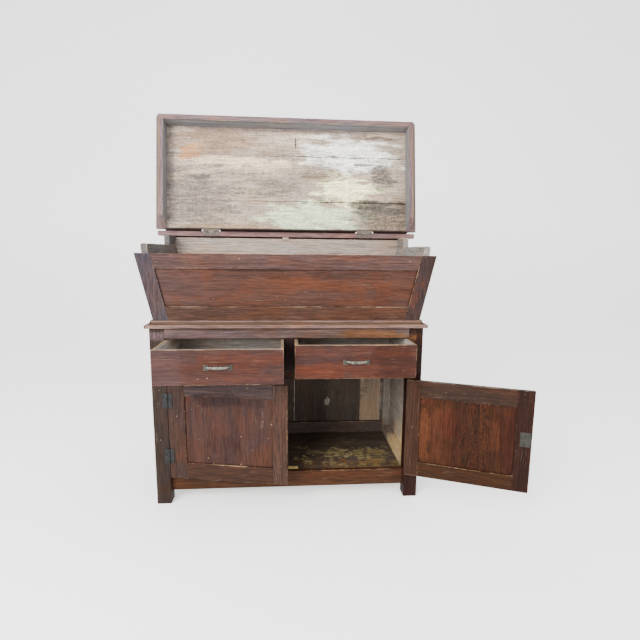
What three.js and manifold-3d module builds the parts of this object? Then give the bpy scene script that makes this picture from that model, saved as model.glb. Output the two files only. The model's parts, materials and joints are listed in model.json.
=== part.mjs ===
// Bakers cabinet: a two-door, two-drawer base that carries a flared dough trough under a hinged lid.
// Millimetres, +Z up. X runs to the right, Y to the back, and the front faces of the legs stand at Y = 0
// until the last lines centre the whole object over its own footprint. It is drawn as it stands in use:
// lid leaned back, both drawers pulled out, left door ajar and right door swung wide.
import * as THREE from "three";
import { mergeVertices } from "three/addons/utils/BufferGeometryUtils.js";
import Module from "manifold-3d";

const wasm = await Module();
wasm.setup();

// ---------------------------------------------------------------- driving dimensions, in millimetres

const SEAT_GAP = 0.3; // between pieces that touch
const RUNNING_GAP = 1; // beside a piece that moves past another

// Base frame
const BASE_WIDTH = 1120;
const BASE_DEPTH = 550;
const LEG = 59; // square section
const FOOT_HEIGHT = 51; // floor to the bottom rail
const BOTTOM_RAIL_HEIGHT = 71;
const RAIL_THICKNESS = 22;
const DRAWER_RAIL_HEIGHT = 33;
const TOP_RAIL_HEIGHT = 42;
const DIVIDER_WIDTH = 42; // upright between the two drawers

// Sides, floor and back of the base
const SIDE_INSET = 4; // side rails behind the outer faces of the legs
const SIDE_RAIL_THICKNESS = 25;
const SIDE_TOP_RAIL_HEIGHT = 68;
const SIDE_PANEL_THICKNESS = 10;
const SIDE_PANEL_INSET = 6; // panel behind the side rails
const SIDE_LEDGE = 26; // shelf of the bottom side rail under the floor
const FLOOR_THICKNESS = 12;
const FLOOR_DROP = 12; // floor below the top edge of the bottom rail
const CLEAT_HEIGHT = 35;
const BACK_RAIL_HEIGHT = 58;
const BACK_RAIL_THICKNESS = 20;
const BACK_RAIL_INSET = 40; // its rear face in front of the rear faces of the legs
const BACK_BOARD_THICKNESS = 12;
const BACK_BOARD_DROP = 20; // back boards below the underside of the floor
const STOP_BLOCK = { width: 44, depth: 34, height: 9, offset: 16 }; // door stop on the floor

// Doors
const DOOR_HEIGHT = 422;
const DOOR_THICKNESS = 20;
const DOOR_LAP = 4.5; // door over the top edge of the bottom rail
const DOOR_HEADROOM = 2;
const DOOR_PANEL_THICKNESS = 8;
const DOOR_PANEL_INSET = 6; // panel behind the outer face of its frame
const LEFT_DOOR_FRAME = { hingeStile: 72, freeStile: 60, topRail: 60, bottomRail: 71 };
const RIGHT_DOOR_FRAME = { hingeStile: 60, freeStile: 62, topRail: 70, bottomRail: 64 };
const LEFT_DOOR_OPEN = 10.9; // degrees
const RIGHT_DOOR_OPEN = 157;

// Drawers
const DRAWER_FRONT_HEIGHT = 133;
const DRAWER_FRONT_THICKNESS = 20;
const DRAWER_LENGTH = 450;
const DRAWER_SIDE_THICKNESS = 12;
const DRAWER_BOTTOM_THICKNESS = 8;
const DRAWER_BOTTOM_LIFT = 8;
const DRAWER_UNDERCLEARANCE = 2;
const DRAWER_HEADROOM = 5;
const LEFT_DRAWER_OUT = 202;
const RIGHT_DRAWER_OUT = 131;
const RUNNER_HEIGHT = 20;
const CENTRE_RUNNER_WIDTH = 70;
const SIDE_RUNNER_WIDTH = 52; // from the side panel inwards
const GUIDE_HEIGHT = 24; // lip that steers the drawer beside the runner

// Drawer pulls
const PULL_SPAN = 88; // foot to foot
const PULL_FOOT = { width: 17, height: 22, thickness: 4 };
const PULL_REACH = 24; // from the drawer front to the middle of the grip
const PULL_GRIP = { width: 9, thickness: 6, sides: 10, steps: 36 };
const PULL_CORNER = 12; // radius where the grip turns out from its feet

// Waist moulding round the foot of the trough
const WAIST_HEIGHT = 31;
const WAIST_PROJECTION = 14.5; // beyond the faces of the legs
const WAIST_INLAY = 15; // inwards from the faces of the legs
const WAIST_NOSE = 9; // height of the square nose under the hollow
const WAIST_FILLET = 3;

// Dough trough
const TROUGH_FRONT_INSET = 5; // behind the faces of the legs
const TROUGH_FRONT_HEIGHT = 267;
const TROUGH_FRONT_FOOT = 1088; // width of the front at its foot
const TROUGH_FRONT_HEAD = 1210; // width of the front at its top edge
const TROUGH_FRONT_THICKNESS = 22;
const TROUGH_STILE_WIDTH = 62;
const TROUGH_TOP_RAIL_HEIGHT = 61;
const TROUGH_BOTTOM_RAIL_HEIGHT = 57;
const TROUGH_PANEL_THICKNESS = 9;
const TROUGH_PANEL_INSET = 8;
const TROUGH_SIDE_SETBACK = 24; // side boards inside the slanted ends of the front
const TROUGH_SIDE_HEIGHT = 305;
const TROUGH_SIDE_THICKNESS = 25; // measured level
const TROUGH_SIDE_CORNER = 36; // radius at the front top corner
const TROUGH_DEPTH = 555; // front face of the trough to its rear face
const TROUGH_BACK_THICKNESS = 22;
const POST_HEIGHT = 44.5; // raised rear end of a side board
const POST_DEPTH = 140;

// Hinge rail and lid
const LID_THICKNESS = 24.5;
const LID_NOSE = 7; // rounding of the moulded edges
const RAIL_OVERHANG = 59; // hinge rail beyond the posts
const RAIL_DEPTH = 58;
const RAIL_FRONT_INSET = 4; // front edge of the hinge rail in front of the back board
const LID_LENGTH = 562;
const LID_FRONT_CORNER = 12;
const RAIL_FRONT_CORNER = 1;
const LID_RIM_DEPTH = 79;
const LID_RIM_THICKNESS = 23;
const LID_RIM_CLEARANCE = 4.5; // between a closed rim and the side board
const LID_RIM_BEVEL = 45; // slanted rear end of a side rim
const LID_OVERHANG = 34; // lid board beyond the outer face of the front rim
const LID_LEAN = 10.2; // degrees behind upright
const LID_EDGE_GAP = 4; // between the closed lid and the hinge rail, for the hinge leaves

// Hinges and lock
const KNUCKLE_RADIUS = 3.5;
const PIN_RADIUS = 1.6;
const PIN_CLEARANCE = 0.25;
const KNUCKLE_GAP = 0.4;
const DOOR_HINGE = { height: 64, leafWidth: 20, thickness: 2, topInset: 52, bottomInset: 66 };
const LID_HINGE = { length: 80, leafDepth: 22, thickness: 1.4, spacing: 772 };
const LOCK_PLATE = { width: 44, height: 60, thickness: 2, lift: 193 };
const LOCK_CASE = { width: 34, height: 40, thickness: 9 };
const LOCK_BOLT = { length: 24, thickness: 5, height: 12, clearance: 0.4, recess: 1 };
const KEEPER_DEPTH = 9.5; // slot in the left door for 8 mm of bolt
const KEEPER_CLEARANCE = 0.8;

// Fineness of the round shapes, and how far a cutting block runs past what it cuts
const KNUCKLE_SIDES = 16;
const PIN_SIDES = 12;
const OVERCUT = 1;

// ---------------------------------------------------------------- places worked out from them

const HALF_BASE = BASE_WIDTH / 2;
const LEG_INNER = HALF_BASE - LEG; // inner faces of the legs
const RAIL_HALF = LEG_INNER - SEAT_GAP; // rails stop just short of the legs
const REAR_LEG_FRONT = BASE_DEPTH - LEG;
const RAIL_SETBACK = DOOR_THICKNESS + RUNNING_GAP;
const BOTTOM_RAIL_TOP = FOOT_HEIGHT + BOTTOM_RAIL_HEIGHT;
const DOOR_BOTTOM = BOTTOM_RAIL_TOP - DOOR_LAP;
const DRAWER_RAIL_BOTTOM = DOOR_BOTTOM + DOOR_HEIGHT + DOOR_HEADROOM;
const DRAWER_RAIL_TOP = DRAWER_RAIL_BOTTOM + DRAWER_RAIL_HEIGHT;
const DRAWER_BOTTOM = DRAWER_RAIL_TOP + DRAWER_UNDERCLEARANCE;
const DRAWER_TOP = DRAWER_BOTTOM + DRAWER_FRONT_HEIGHT;
const TOP_RAIL_BOTTOM = DRAWER_TOP + DRAWER_HEADROOM;
const BASE_TOP = TOP_RAIL_BOTTOM + TOP_RAIL_HEIGHT;
const FLOOR_TOP = BOTTOM_RAIL_TOP - FLOOR_DROP;
const FLOOR_UNDERSIDE = FLOOR_TOP - FLOOR_THICKNESS;
const SIDE_RAIL_OUTER = HALF_BASE - SIDE_INSET;
const SIDE_RAIL_INNER = SIDE_RAIL_OUTER - SIDE_RAIL_THICKNESS;
const SIDE_PANEL_OUTER = SIDE_RAIL_OUTER - SIDE_PANEL_INSET;
const SIDE_PANEL_INNER = SIDE_PANEL_OUTER - SIDE_PANEL_THICKNESS;
const BACK_RAIL_REAR = BASE_DEPTH - BACK_RAIL_INSET;

const TROUGH_FOOT = BASE_TOP + WAIST_HEIGHT;
const TROUGH_FRONT_TOP = TROUGH_FOOT + TROUGH_FRONT_HEIGHT;
const TROUGH_BACK_REAR = TROUGH_FRONT_INSET + TROUGH_DEPTH;
const TROUGH_BACK_FRONT = TROUGH_BACK_REAR - TROUGH_BACK_THICKNESS;
const TROUGH_FRONT_REAR = TROUGH_FRONT_INSET + TROUGH_FRONT_THICKNESS;
const FLARE = (TROUGH_FRONT_HEAD - TROUGH_FRONT_FOOT) / 2 / TROUGH_FRONT_HEIGHT; // outwards per unit up
const TROUGH_SIDE_TOP = TROUGH_FOOT + TROUGH_SIDE_HEIGHT;
const POST_TOP = TROUGH_SIDE_TOP + POST_HEIGHT;
const RAIL_UNDERSIDE = POST_TOP + SEAT_GAP;
const RAIL_TOP = RAIL_UNDERSIDE + LID_THICKNESS;
const RAIL_FRONT = TROUGH_BACK_FRONT - RAIL_FRONT_INSET;

const LID_PIN_Y = RAIL_FRONT - LID_EDGE_GAP / 2;
const LID_PIN_Z = RAIL_TOP + KNUCKLE_RADIUS + PIN_CLEARANCE;
const LID_OPEN = 90 + LID_LEAN; // degrees from closed to the leaned-back rest

/** Half width of the slanted front at a height. */
const frontHalf = (z) => TROUGH_FRONT_FOOT / 2 + FLARE * (z - TROUGH_FOOT);
/** Distance of a side board's outer face from the middle at a height. */
const sideOuter = (z) => frontHalf(z) - TROUGH_SIDE_SETBACK;
/** Distance of a side board's inner face from the middle at a height. */
const sideInner = (z) => sideOuter(z) - TROUGH_SIDE_THICKNESS;

const POST_OUTER = sideOuter(TROUGH_SIDE_TOP);
const RIM_INNER = POST_OUTER + LID_RIM_CLEARANCE;
const RIM_OUTER = RIM_INNER + LID_RIM_THICKNESS;
const LID_HALF = POST_OUTER + RAIL_OVERHANG;

// ---------------------------------------------------------------- finishes

function finish(color, roughness, metalness = 0) {
  return new THREE.MeshStandardMaterial({ color, roughness, metalness });
}

const STAINED = finish(0x6b3d30, 0.5);
const BARE = finish(0xa2927f, 0.8);
const DRAWER_WOOD = finish(0xb39a75, 0.75);
const FLOOR_WOOD = finish(0x5c4632, 0.75);
const PAINTED = finish(0xb9ab98, 0.7);
const IRON = finish(0x3c4046, 0.55, 0.8);
const CAST = finish(0x7c7f74, 0.45, 0.8);

// ---------------------------------------------------------------- shaping helpers

/** A closed solid for joining and cutting, from a geometry's positions alone. */
function solid(geometry) {
  const bare = new THREE.BufferGeometry();
  bare.setAttribute("position", geometry.getAttribute("position"));
  bare.setIndex(geometry.index);
  const merged = mergeVertices(bare, 1e-4);
  const mesh = new wasm.Mesh({
    numProp: 3,
    vertProperties: merged.getAttribute("position").array,
    triVerts: new Uint32Array(merged.index.array),
  });
  return new wasm.Manifold(mesh);
}

/** A solid turned back into a geometry. */
function toGeometry(body) {
  const mesh = body.getMesh();
  const geometry = new THREE.BufferGeometry();
  geometry.setAttribute("position", new THREE.BufferAttribute(mesh.vertProperties, 3));
  geometry.setIndex(new THREE.BufferAttribute(mesh.triVerts, 1));
  geometry.computeVertexNormals();
  return geometry;
}

/** Geometries joined into one. */
function join(...parts) {
  return toGeometry(parts.map(solid).reduce((whole, part) => whole.add(part)));
}

/** A geometry with others cut out of it. */
function cut(stock, ...tools) {
  return toGeometry(tools.map(solid).reduce((left, tool) => left.subtract(tool), solid(stock)));
}

/** A box between pairs of limits along X, Y and Z, given in either order. */
function block(xs, ys, zs) {
  const low = [xs, ys, zs].map((pair) => Math.min(...pair));
  const size = [xs, ys, zs].map((pair) => Math.abs(pair[1] - pair[0]));
  const middle = low.map((value, i) => value + size[i] / 2);
  return new THREE.BoxGeometry(...size).translate(...middle);
}

/** A pair of limits pushed out past both faces, for cutting. */
const widened = ([from, to]) => [from - OVERCUT, to + OVERCUT];

const AXIS_BASES = {
  // Where the outline's first axis, its second axis and the sweep point, for a sweep along each axis.
  x: [[0, 1, 0], [0, 0, 1], [1, 0, 0]],
  y: [[0, 0, 1], [1, 0, 0], [0, 1, 0]],
  z: [[1, 0, 0], [0, 1, 0], [0, 0, 1]],
};

/** A shape swept along an axis: (y, z) outlines along x, (z, x) along y and (x, y) along z. */
function sweep(shape, axis, from, to, curveSegments = 6) {
  const start = Math.min(from, to);
  const depth = Math.abs(to - from);
  const geometry = new THREE.ExtrudeGeometry(shape, { depth, bevelEnabled: false, curveSegments });
  const basis = AXIS_BASES[axis].map((v) => new THREE.Vector3(...v));
  geometry.translate(0, 0, start);
  return geometry.applyMatrix4(new THREE.Matrix4().makeBasis(...basis));
}

/** A straight-sided outline from its corners. */
const outline = (...corners) => new THREE.Shape(corners.map(([a, b]) => new THREE.Vector2(a, b)));

/** A round bar along Z. */
function bar(radius, from, to, sides) {
  const cylinder = new THREE.CylinderGeometry(radius, radius, to - from, sides);
  return cylinder.rotateX(Math.PI / 2).translate(0, 0, (from + to) / 2);
}

/** A board with rounded edges all round, between limits; corner is the radius of its plan corners. */
function noseBoard(xs, ys, zs, nose, corner) {
  const [x0, x1] = [xs[0] + nose, xs[1] - nose];
  const [y0, y1] = [ys[0] + nose, ys[1] - nose];
  const shape = new THREE.Shape();
  shape.moveTo(x0, y1);
  shape.lineTo(x0, y0 + corner);
  shape.quadraticCurveTo(x0, y0, x0 + corner, y0);
  shape.lineTo(x1 - corner, y0);
  shape.quadraticCurveTo(x1, y0, x1, y0 + corner);
  shape.lineTo(x1, y1);
  shape.closePath();
  const geometry = new THREE.ExtrudeGeometry(shape, {
    depth: zs[1] - zs[0] - 2 * nose,
    bevelThickness: nose,
    bevelSize: nose,
    bevelSegments: 3,
    curveSegments: 3,
  });
  return geometry.translate(0, 0, zs[0] + nose);
}

/** A named piece. */
function piece(name, geometry, material) {
  const mesh = new THREE.Mesh(geometry, material);
  mesh.name = name;
  return mesh;
}

/** A group with its pieces in it. */
function assembly(name, ...pieces) {
  const group = new THREE.Group();
  group.name = name;
  group.add(...pieces);
  return group;
}

const SIDES = [
  { side: "left", sign: -1 },
  { side: "right", sign: 1 },
];

// ---------------------------------------------------------------- base

function makeLegs() {
  const rows = [
    { row: "front", ys: [0, LEG] },
    { row: "rear", ys: [REAR_LEG_FRONT, BASE_DEPTH] },
  ];
  return rows.flatMap(({ row, ys }) =>
    SIDES.map(({ side, sign }) =>
      piece(`${row}_${side}_leg`, block([sign * LEG_INNER, sign * HALF_BASE], ys, [0, BASE_TOP]), STAINED),
    ),
  );
}

function makeFrontFrame() {
  const across = [-RAIL_HALF, RAIL_HALF];
  const dividerZ = [DRAWER_RAIL_TOP + SEAT_GAP, TOP_RAIL_BOTTOM - SEAT_GAP];
  const setBack = [RAIL_SETBACK, RAIL_SETBACK + RAIL_THICKNESS];
  const halfDivider = DIVIDER_WIDTH / 2;
  return [
    piece("front_top_rail", block(across, [0, RAIL_THICKNESS], [TOP_RAIL_BOTTOM, BASE_TOP]), STAINED),
    piece("drawer_rail", block(across, [0, LEG], [DRAWER_RAIL_BOTTOM, DRAWER_RAIL_TOP]), STAINED),
    piece("bottom_rail", block(across, setBack, [FOOT_HEIGHT, BOTTOM_RAIL_TOP]), STAINED),
    piece("drawer_divider", block([-halfDivider, halfDivider], [0, RAIL_THICKNESS], dividerZ), STAINED),
  ];
}

/** One side: two rails, the panel between them, the drawer runner with its guide, and the floor cleat. */
function makeSide({ side, sign }) {
  const along = [LEG + SEAT_GAP, REAR_LEG_FRONT - SEAT_GAP];
  const rail = [sign * SIDE_RAIL_INNER, sign * SIDE_RAIL_OUTER];
  const runnerTop = DRAWER_BOTTOM - SEAT_GAP;
  const guide = [sign * (LEG_INNER + RUNNING_GAP), sign * SIDE_PANEL_INNER];
  const runner = [sign * (SIDE_PANEL_INNER - SIDE_RUNNER_WIDTH), sign * SIDE_PANEL_INNER];
  const ledge = [sign * (SIDE_RAIL_INNER - SIDE_LEDGE), sign * SIDE_RAIL_OUTER];
  const ledgeTop = FLOOR_UNDERSIDE - SEAT_GAP;
  const cleatZ = [FLOOR_TOP + SEAT_GAP, FLOOR_TOP + SEAT_GAP + CLEAT_HEIGHT];
  const panelZ = [FOOT_HEIGHT + SIDE_INSET, BASE_TOP - SIDE_INSET];
  const geometry = join(
    block([sign * SIDE_PANEL_INNER, sign * SIDE_PANEL_OUTER], along, panelZ),
    block(rail, along, [BASE_TOP - SIDE_TOP_RAIL_HEIGHT, BASE_TOP]),
    block(rail, along, [FOOT_HEIGHT, BOTTOM_RAIL_TOP]),
    block(ledge, along, [FOOT_HEIGHT, ledgeTop]),
    block(guide, along, cleatZ),
    block(runner, along, [runnerTop - RUNNER_HEIGHT, runnerTop]),
    block(guide, along, [runnerTop - RUNNER_HEIGHT, runnerTop + GUIDE_HEIGHT]),
  );
  return piece(`${side}_side`, geometry, STAINED);
}

/** The floor, notched round the legs, with the door stop on it. */
function makeFloor() {
  const front = RAIL_SETBACK + RAIL_THICKNESS + SEAT_GAP;
  const height = [FLOOR_UNDERSIDE, FLOOR_TOP];
  const wide = SIDE_RAIL_INNER - SEAT_GAP;
  const board = join(
    block([-RAIL_HALF, RAIL_HALF], [front, BACK_RAIL_REAR], height),
    block([-wide, wide], [LEG + SEAT_GAP, REAR_LEG_FRONT - SEAT_GAP], height),
  );
  const { width, depth, offset } = STOP_BLOCK;
  const blockZ = [FLOOR_TOP + SEAT_GAP, FLOOR_TOP + SEAT_GAP + STOP_BLOCK.height];
  const stop = block([offset - width / 2, offset + width / 2], [front, front + depth], blockZ);
  return [piece("cabinet_floor", board, FLOOR_WOOD), piece("door_stop_block", stop, BARE)];
}

function makeBack() {
  const across = [-RAIL_HALF, RAIL_HALF];
  const railY = [BACK_RAIL_REAR - BACK_RAIL_THICKNESS, BACK_RAIL_REAR];
  const railZ = [FLOOR_TOP + SEAT_GAP, FLOOR_TOP + SEAT_GAP + BACK_RAIL_HEIGHT];
  const boardFront = BACK_RAIL_REAR + SEAT_GAP;
  const boardZ = [FLOOR_UNDERSIDE - BACK_BOARD_DROP, BASE_TOP];
  return [
    piece("back_rail", block(across, railY, railZ), BARE),
    piece("back_boards", block(across, [boardFront, boardFront + BACK_BOARD_THICKNESS], boardZ), BARE),
  ];
}

function makeCentreRunner() {
  const top = DRAWER_BOTTOM - SEAT_GAP;
  const half = CENTRE_RUNNER_WIDTH / 2;
  const guideHalf = DIVIDER_WIDTH / 2 - RUNNING_GAP;
  const along = [LEG + SEAT_GAP, BACK_RAIL_REAR];
  const geometry = join(
    block([-half, half], along, [top - RUNNER_HEIGHT, top]),
    block([-guideHalf, guideHalf], along, [top - RUNNER_HEIGHT, top + GUIDE_HEIGHT]),
  );
  return piece("centre_drawer_runner", geometry, BARE);
}

/** The waist moulding: one profile run along the front and both sides, mitred at the front corners. */
function makeWaistMoulding() {
  // at turns a distance outwards from the faces of the legs, and a height, into outline coordinates.
  const profile = (at) => {
    const shape = new THREE.Shape();
    const point = (outwards, up) => at(outwards, BASE_TOP + up);
    const go = (outwards, up) => shape.lineTo(...point(outwards, up));
    const hollowFoot = WAIST_NOSE + WAIST_FILLET;
    const hollowHead = WAIST_HEIGHT - WAIST_FILLET;
    shape.moveTo(...point(-WAIST_INLAY, SEAT_GAP));
    go(WAIST_PROJECTION - WAIST_FILLET, SEAT_GAP);
    go(WAIST_PROJECTION, WAIST_FILLET);
    go(WAIST_PROJECTION, WAIST_NOSE);
    go(WAIST_PROJECTION - WAIST_FILLET, hollowFoot);
    shape.quadraticCurveTo(
      ...point(-TROUGH_FRONT_INSET, hollowFoot),
      ...point(-TROUGH_FRONT_INSET, hollowHead),
    );
    go(-TROUGH_FRONT_INSET, WAIST_HEIGHT - SEAT_GAP);
    go(-WAIST_INLAY, WAIST_HEIGHT - SEAT_GAP);
    return shape;
  };
  const past = WAIST_PROJECTION + OVERCUT;
  const mitre = HALF_BASE / Math.SQRT2;
  const frontProfile = profile((outwards, z) => [-outwards, z]);
  const front = solid(sweep(frontProfile, "x", -HALF_BASE - past, HALF_BASE + past))
    .trimByPlane([-Math.SQRT1_2, -Math.SQRT1_2, 0], -mitre)
    .trimByPlane([Math.SQRT1_2, -Math.SQRT1_2, 0], -mitre);
  const runs = SIDES.map(({ sign }) => {
    const sideProfile = profile((outwards, z) => [z, sign * (HALF_BASE + outwards)]);
    const run = solid(sweep(sideProfile, "y", -past, TROUGH_BACK_REAR));
    return run.trimByPlane([sign * Math.SQRT1_2, Math.SQRT1_2, 0], mitre);
  });
  return piece("waist_moulding", toGeometry(front.add(runs[0]).add(runs[1])), STAINED);
}

// ---------------------------------------------------------------- trough

function makeTroughFloor() {
  const half = HALF_BASE - WAIST_INLAY - SEAT_GAP;
  const along = [WAIST_INLAY + SEAT_GAP, TROUGH_BACK_REAR];
  const height = [BASE_TOP + SEAT_GAP, TROUGH_FOOT - SEAT_GAP];
  return piece("trough_floor", block([-half, half], along, height), BARE);
}

/** A four-sided board in the plane of the front, from its half widths at its foot and head. */
function frontBoard(zs, inner, outer, ys) {
  const [foot, head] = zs;
  const shape = outline(
    [foot, inner(foot)],
    [foot, outer(foot)],
    [head, outer(head)],
    [head, inner(head)],
  );
  return sweep(shape, "y", ...ys);
}

/** The slanted front: two stiles, two rails between them and the recessed panel. */
function makeTroughFront() {
  const ys = [TROUGH_FRONT_INSET, TROUGH_FRONT_REAR];
  const panelFront = TROUGH_FRONT_INSET + TROUGH_PANEL_INSET;
  const sight = (z) => frontHalf(z) - TROUGH_STILE_WIDTH;
  const railEnd = (z) => sight(z) - SEAT_GAP;
  const bottomRailTop = TROUGH_FOOT + TROUGH_BOTTOM_RAIL_HEIGHT;
  const topRailBottom = TROUGH_FRONT_TOP - TROUGH_TOP_RAIL_HEIGHT;
  const full = [TROUGH_FOOT, TROUGH_FRONT_TOP];
  const stiles = SIDES.map(({ side, sign }) => {
    const board = frontBoard(full, (z) => sign * sight(z), (z) => sign * frontHalf(z), ys);
    return piece(`trough_${side}_stile`, board, STAINED);
  });
  const rail = (name, zs) => piece(name, frontBoard(zs, (z) => -railEnd(z), railEnd, ys), STAINED);
  const panelZ = [bottomRailTop + SEAT_GAP, topRailBottom - SEAT_GAP];
  const panelY = [panelFront, panelFront + TROUGH_PANEL_THICKNESS];
  return [
    ...stiles,
    rail("trough_front_bottom_rail", [TROUGH_FOOT, bottomRailTop]),
    rail("trough_front_top_rail", [topRailBottom, TROUGH_FRONT_TOP]),
    piece("trough_front_panel", frontBoard(panelZ, (z) => -railEnd(z), railEnd, panelY), STAINED),
  ];
}

/** A flared side board with a rounded front corner and a raised post at its rear end. */
function makeTroughSide({ side, sign }) {
  const front = TROUGH_FRONT_REAR + SEAT_GAP;
  const flared = frontBoard(
    [TROUGH_FOOT, TROUGH_SIDE_TOP],
    (z) => sign * sideInner(z),
    (z) => sign * sideOuter(z),
    [front, TROUGH_BACK_REAR],
  );
  const postX = [sign * (POST_OUTER - TROUGH_SIDE_THICKNESS), sign * POST_OUTER];
  const post = block(postX, [TROUGH_BACK_REAR - POST_DEPTH, TROUGH_BACK_REAR], [TROUGH_SIDE_TOP, POST_TOP]);
  const radius = TROUGH_SIDE_CORNER;
  const corner = new THREE.Shape();
  corner.moveTo(front - OVERCUT, TROUGH_SIDE_TOP - radius);
  corner.lineTo(front, TROUGH_SIDE_TOP - radius);
  corner.absarc(front + radius, TROUGH_SIDE_TOP - radius, radius, Math.PI, Math.PI / 2, true);
  corner.lineTo(front + radius, TROUGH_SIDE_TOP + OVERCUT);
  corner.lineTo(front - OVERCUT, TROUGH_SIDE_TOP + OVERCUT);
  const far = sign * (POST_OUTER + OVERCUT);
  const near = sign * (sideInner(TROUGH_SIDE_TOP - radius) - OVERCUT);
  return piece(`trough_${side}_side`, cut(join(flared, post), sweep(corner, "x", near, far)), BARE);
}

/** The upright back board between the side boards, up to the underside of the hinge rail. */
function makeTroughBack() {
  const half = (z) => sideInner(Math.min(z, TROUGH_SIDE_TOP)) - SEAT_GAP;
  const corners = [TROUGH_FOOT, TROUGH_SIDE_TOP, POST_TOP];
  const right = corners.map((z) => [z, half(z)]);
  const left = corners.map((z) => [z, -half(z)]).reverse();
  const board = sweep(outline(...right, ...left), "y", TROUGH_BACK_FRONT, TROUGH_BACK_REAR);
  return piece("trough_back", board, BARE);
}

/** The fixed rail that the lid hinges on: rounded ends and rear, a square front with the hinge recesses. */
function makeHingeRail() {
  const spare = RAIL_FRONT - LID_NOSE; // the nosing runs along here too, and is cut off square
  const across = [-LID_HALF, LID_HALF];
  const zs = [RAIL_UNDERSIDE, RAIL_TOP];
  const stock = noseBoard(across, [spare, RAIL_FRONT + RAIL_DEPTH], zs, LID_NOSE, RAIL_FRONT_CORNER);
  const front = block(widened(across), [spare - OVERCUT, RAIL_FRONT], widened(zs));
  return piece("hinge_rail", cut(stock, front), STAINED);
}

// ---------------------------------------------------------------- hinges

/**
 * One leaf of a butt hinge, with the pin along local Z from 0 to length. The fixed leaf has the two outer
 * knuckles and the pin, and the moving leaf the bored middle one. plate and tongue are limits [xs, ys].
 */
function hingeLeaf({ length, plate, tongue, fixed }) {
  const third = length / 3;
  const outer = [[0, third - KNUCKLE_GAP], [2 * third + KNUCKLE_GAP, length]];
  const spans = fixed ? outer : [[third, 2 * third]];
  const parts = spans.flatMap((zs) => [bar(KNUCKLE_RADIUS, ...zs, KNUCKLE_SIDES), block(...tongue, zs)]);
  const leaf = join(block(...plate, [0, length]), ...parts);
  if (fixed) return join(leaf, bar(PIN_RADIUS, 0, length, PIN_SIDES));
  return cut(leaf, bar(PIN_RADIUS + PIN_CLEARANCE, ...widened([third, 2 * third]), PIN_SIDES));
}

/** Leaves of a door hinge, flat on the faces of leg and door; sign points from the pin to the door. */
function doorHingeLeaves(sign) {
  const { height, leafWidth, thickness } = DOOR_HINGE;
  const back = KNUCKLE_RADIUS;
  const ys = [back - thickness, back];
  const clear = KNUCKLE_RADIUS + KNUCKLE_GAP;
  const leaf = (direction, fixed) =>
    hingeLeaf({
      length: height,
      plate: [[direction * clear, direction * leafWidth], ys],
      tongue: [[0, direction * (clear + thickness)], ys],
      fixed,
    });
  return { fixed: leaf(-sign, true), moving: leaf(sign, false) };
}

/** Leaves of a lid hinge, face to face below the pin when the lid is shut. */
function lidHingeLeaves() {
  const { length, leafDepth, thickness } = LID_HINGE;
  const seat = LID_EDGE_GAP / 2 - SEAT_GAP; // from the pin to the outside of a leaf
  const drop = -(KNUCKLE_RADIUS + PIN_CLEARANCE + leafDepth);
  const leaf = (direction, fixed) =>
    hingeLeaf({
      length,
      plate: [[direction * (seat - thickness), direction * seat], [drop, -KNUCKLE_RADIUS - KNUCKLE_GAP]],
      tongue: [[direction * (seat - thickness), direction * seat], [drop / 2, 0]],
      fixed,
    });
  const alongX = new THREE.Matrix4().makeBasis(...AXIS_BASES.x.map((v) => new THREE.Vector3(...v)));
  return {
    fixed: leaf(1, true).applyMatrix4(alongX),
    moving: leaf(-1, false).applyMatrix4(alongX),
  };
}

// ---------------------------------------------------------------- lid

/** The lid round its hinge pin, drawn shut, then swung open by its group. */
function makeLid() {
  const rear = -LID_EDGE_GAP / 2;
  const front = rear - LID_LENGTH;
  const top = RAIL_TOP - LID_PIN_Z;
  const underside = top - LID_THICKNESS;
  const rimTop = underside - SEAT_GAP;
  const rimBottom = rimTop - LID_RIM_DEPTH;
  const across = [-LID_HALF, LID_HALF];
  const spare = rear + LID_NOSE; // the nosing runs along here too, and is cut off square
  const stock = noseBoard(across, [front, spare], [underside, top], LID_NOSE, LID_FRONT_CORNER);
  const square = block(widened(across), [rear, spare + OVERCUT], widened([underside, top]));
  const rimFront = front + LID_OVERHANG;
  const rimRear = rear - RUNNING_GAP;
  const frontRimY = [rimFront, rimFront + LID_RIM_THICKNESS];
  const frontRim = block([-RIM_OUTER, RIM_OUTER], frontRimY, [rimBottom, rimTop]);
  const sideStart = frontRimY[1] + SEAT_GAP;
  const sideShape = outline(
    [sideStart, rimBottom],
    [rimRear - LID_RIM_BEVEL, rimBottom],
    [rimRear, rimTop],
    [sideStart, rimTop],
  );
  const rims = SIDES.map(({ side, sign }) =>
    piece(`lid_${side}_rim`, sweep(sideShape, "x", sign * RIM_INNER, sign * RIM_OUTER), STAINED),
  );
  const leaves = SIDES.map(({ side, sign }) => {
    const leaf = piece(`${side}_lid_hinge_moving_leaf`, lidHingeLeaves().moving, IRON);
    leaf.position.x = (sign * LID_HINGE.spacing) / 2 - LID_HINGE.length / 2;
    return leaf;
  });
  const board = piece("lid_board", cut(stock, square), PAINTED);
  const lid = assembly("lid", board, piece("lid_front_rim", frontRim, STAINED), ...rims, ...leaves);
  lid.position.set(0, LID_PIN_Y, LID_PIN_Z);
  lid.rotation.x = -THREE.MathUtils.degToRad(LID_OPEN);
  return lid;
}

function makeFixedLidLeaves() {
  return SIDES.map(({ side, sign }) => {
    const leaf = piece(`${side}_lid_hinge_fixed_leaf`, lidHingeLeaves().fixed, IRON);
    leaf.position.set((sign * LID_HINGE.spacing) / 2 - LID_HINGE.length / 2, LID_PIN_Y, LID_PIN_Z);
    return leaf;
  });
}

// ---------------------------------------------------------------- drawers

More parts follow.
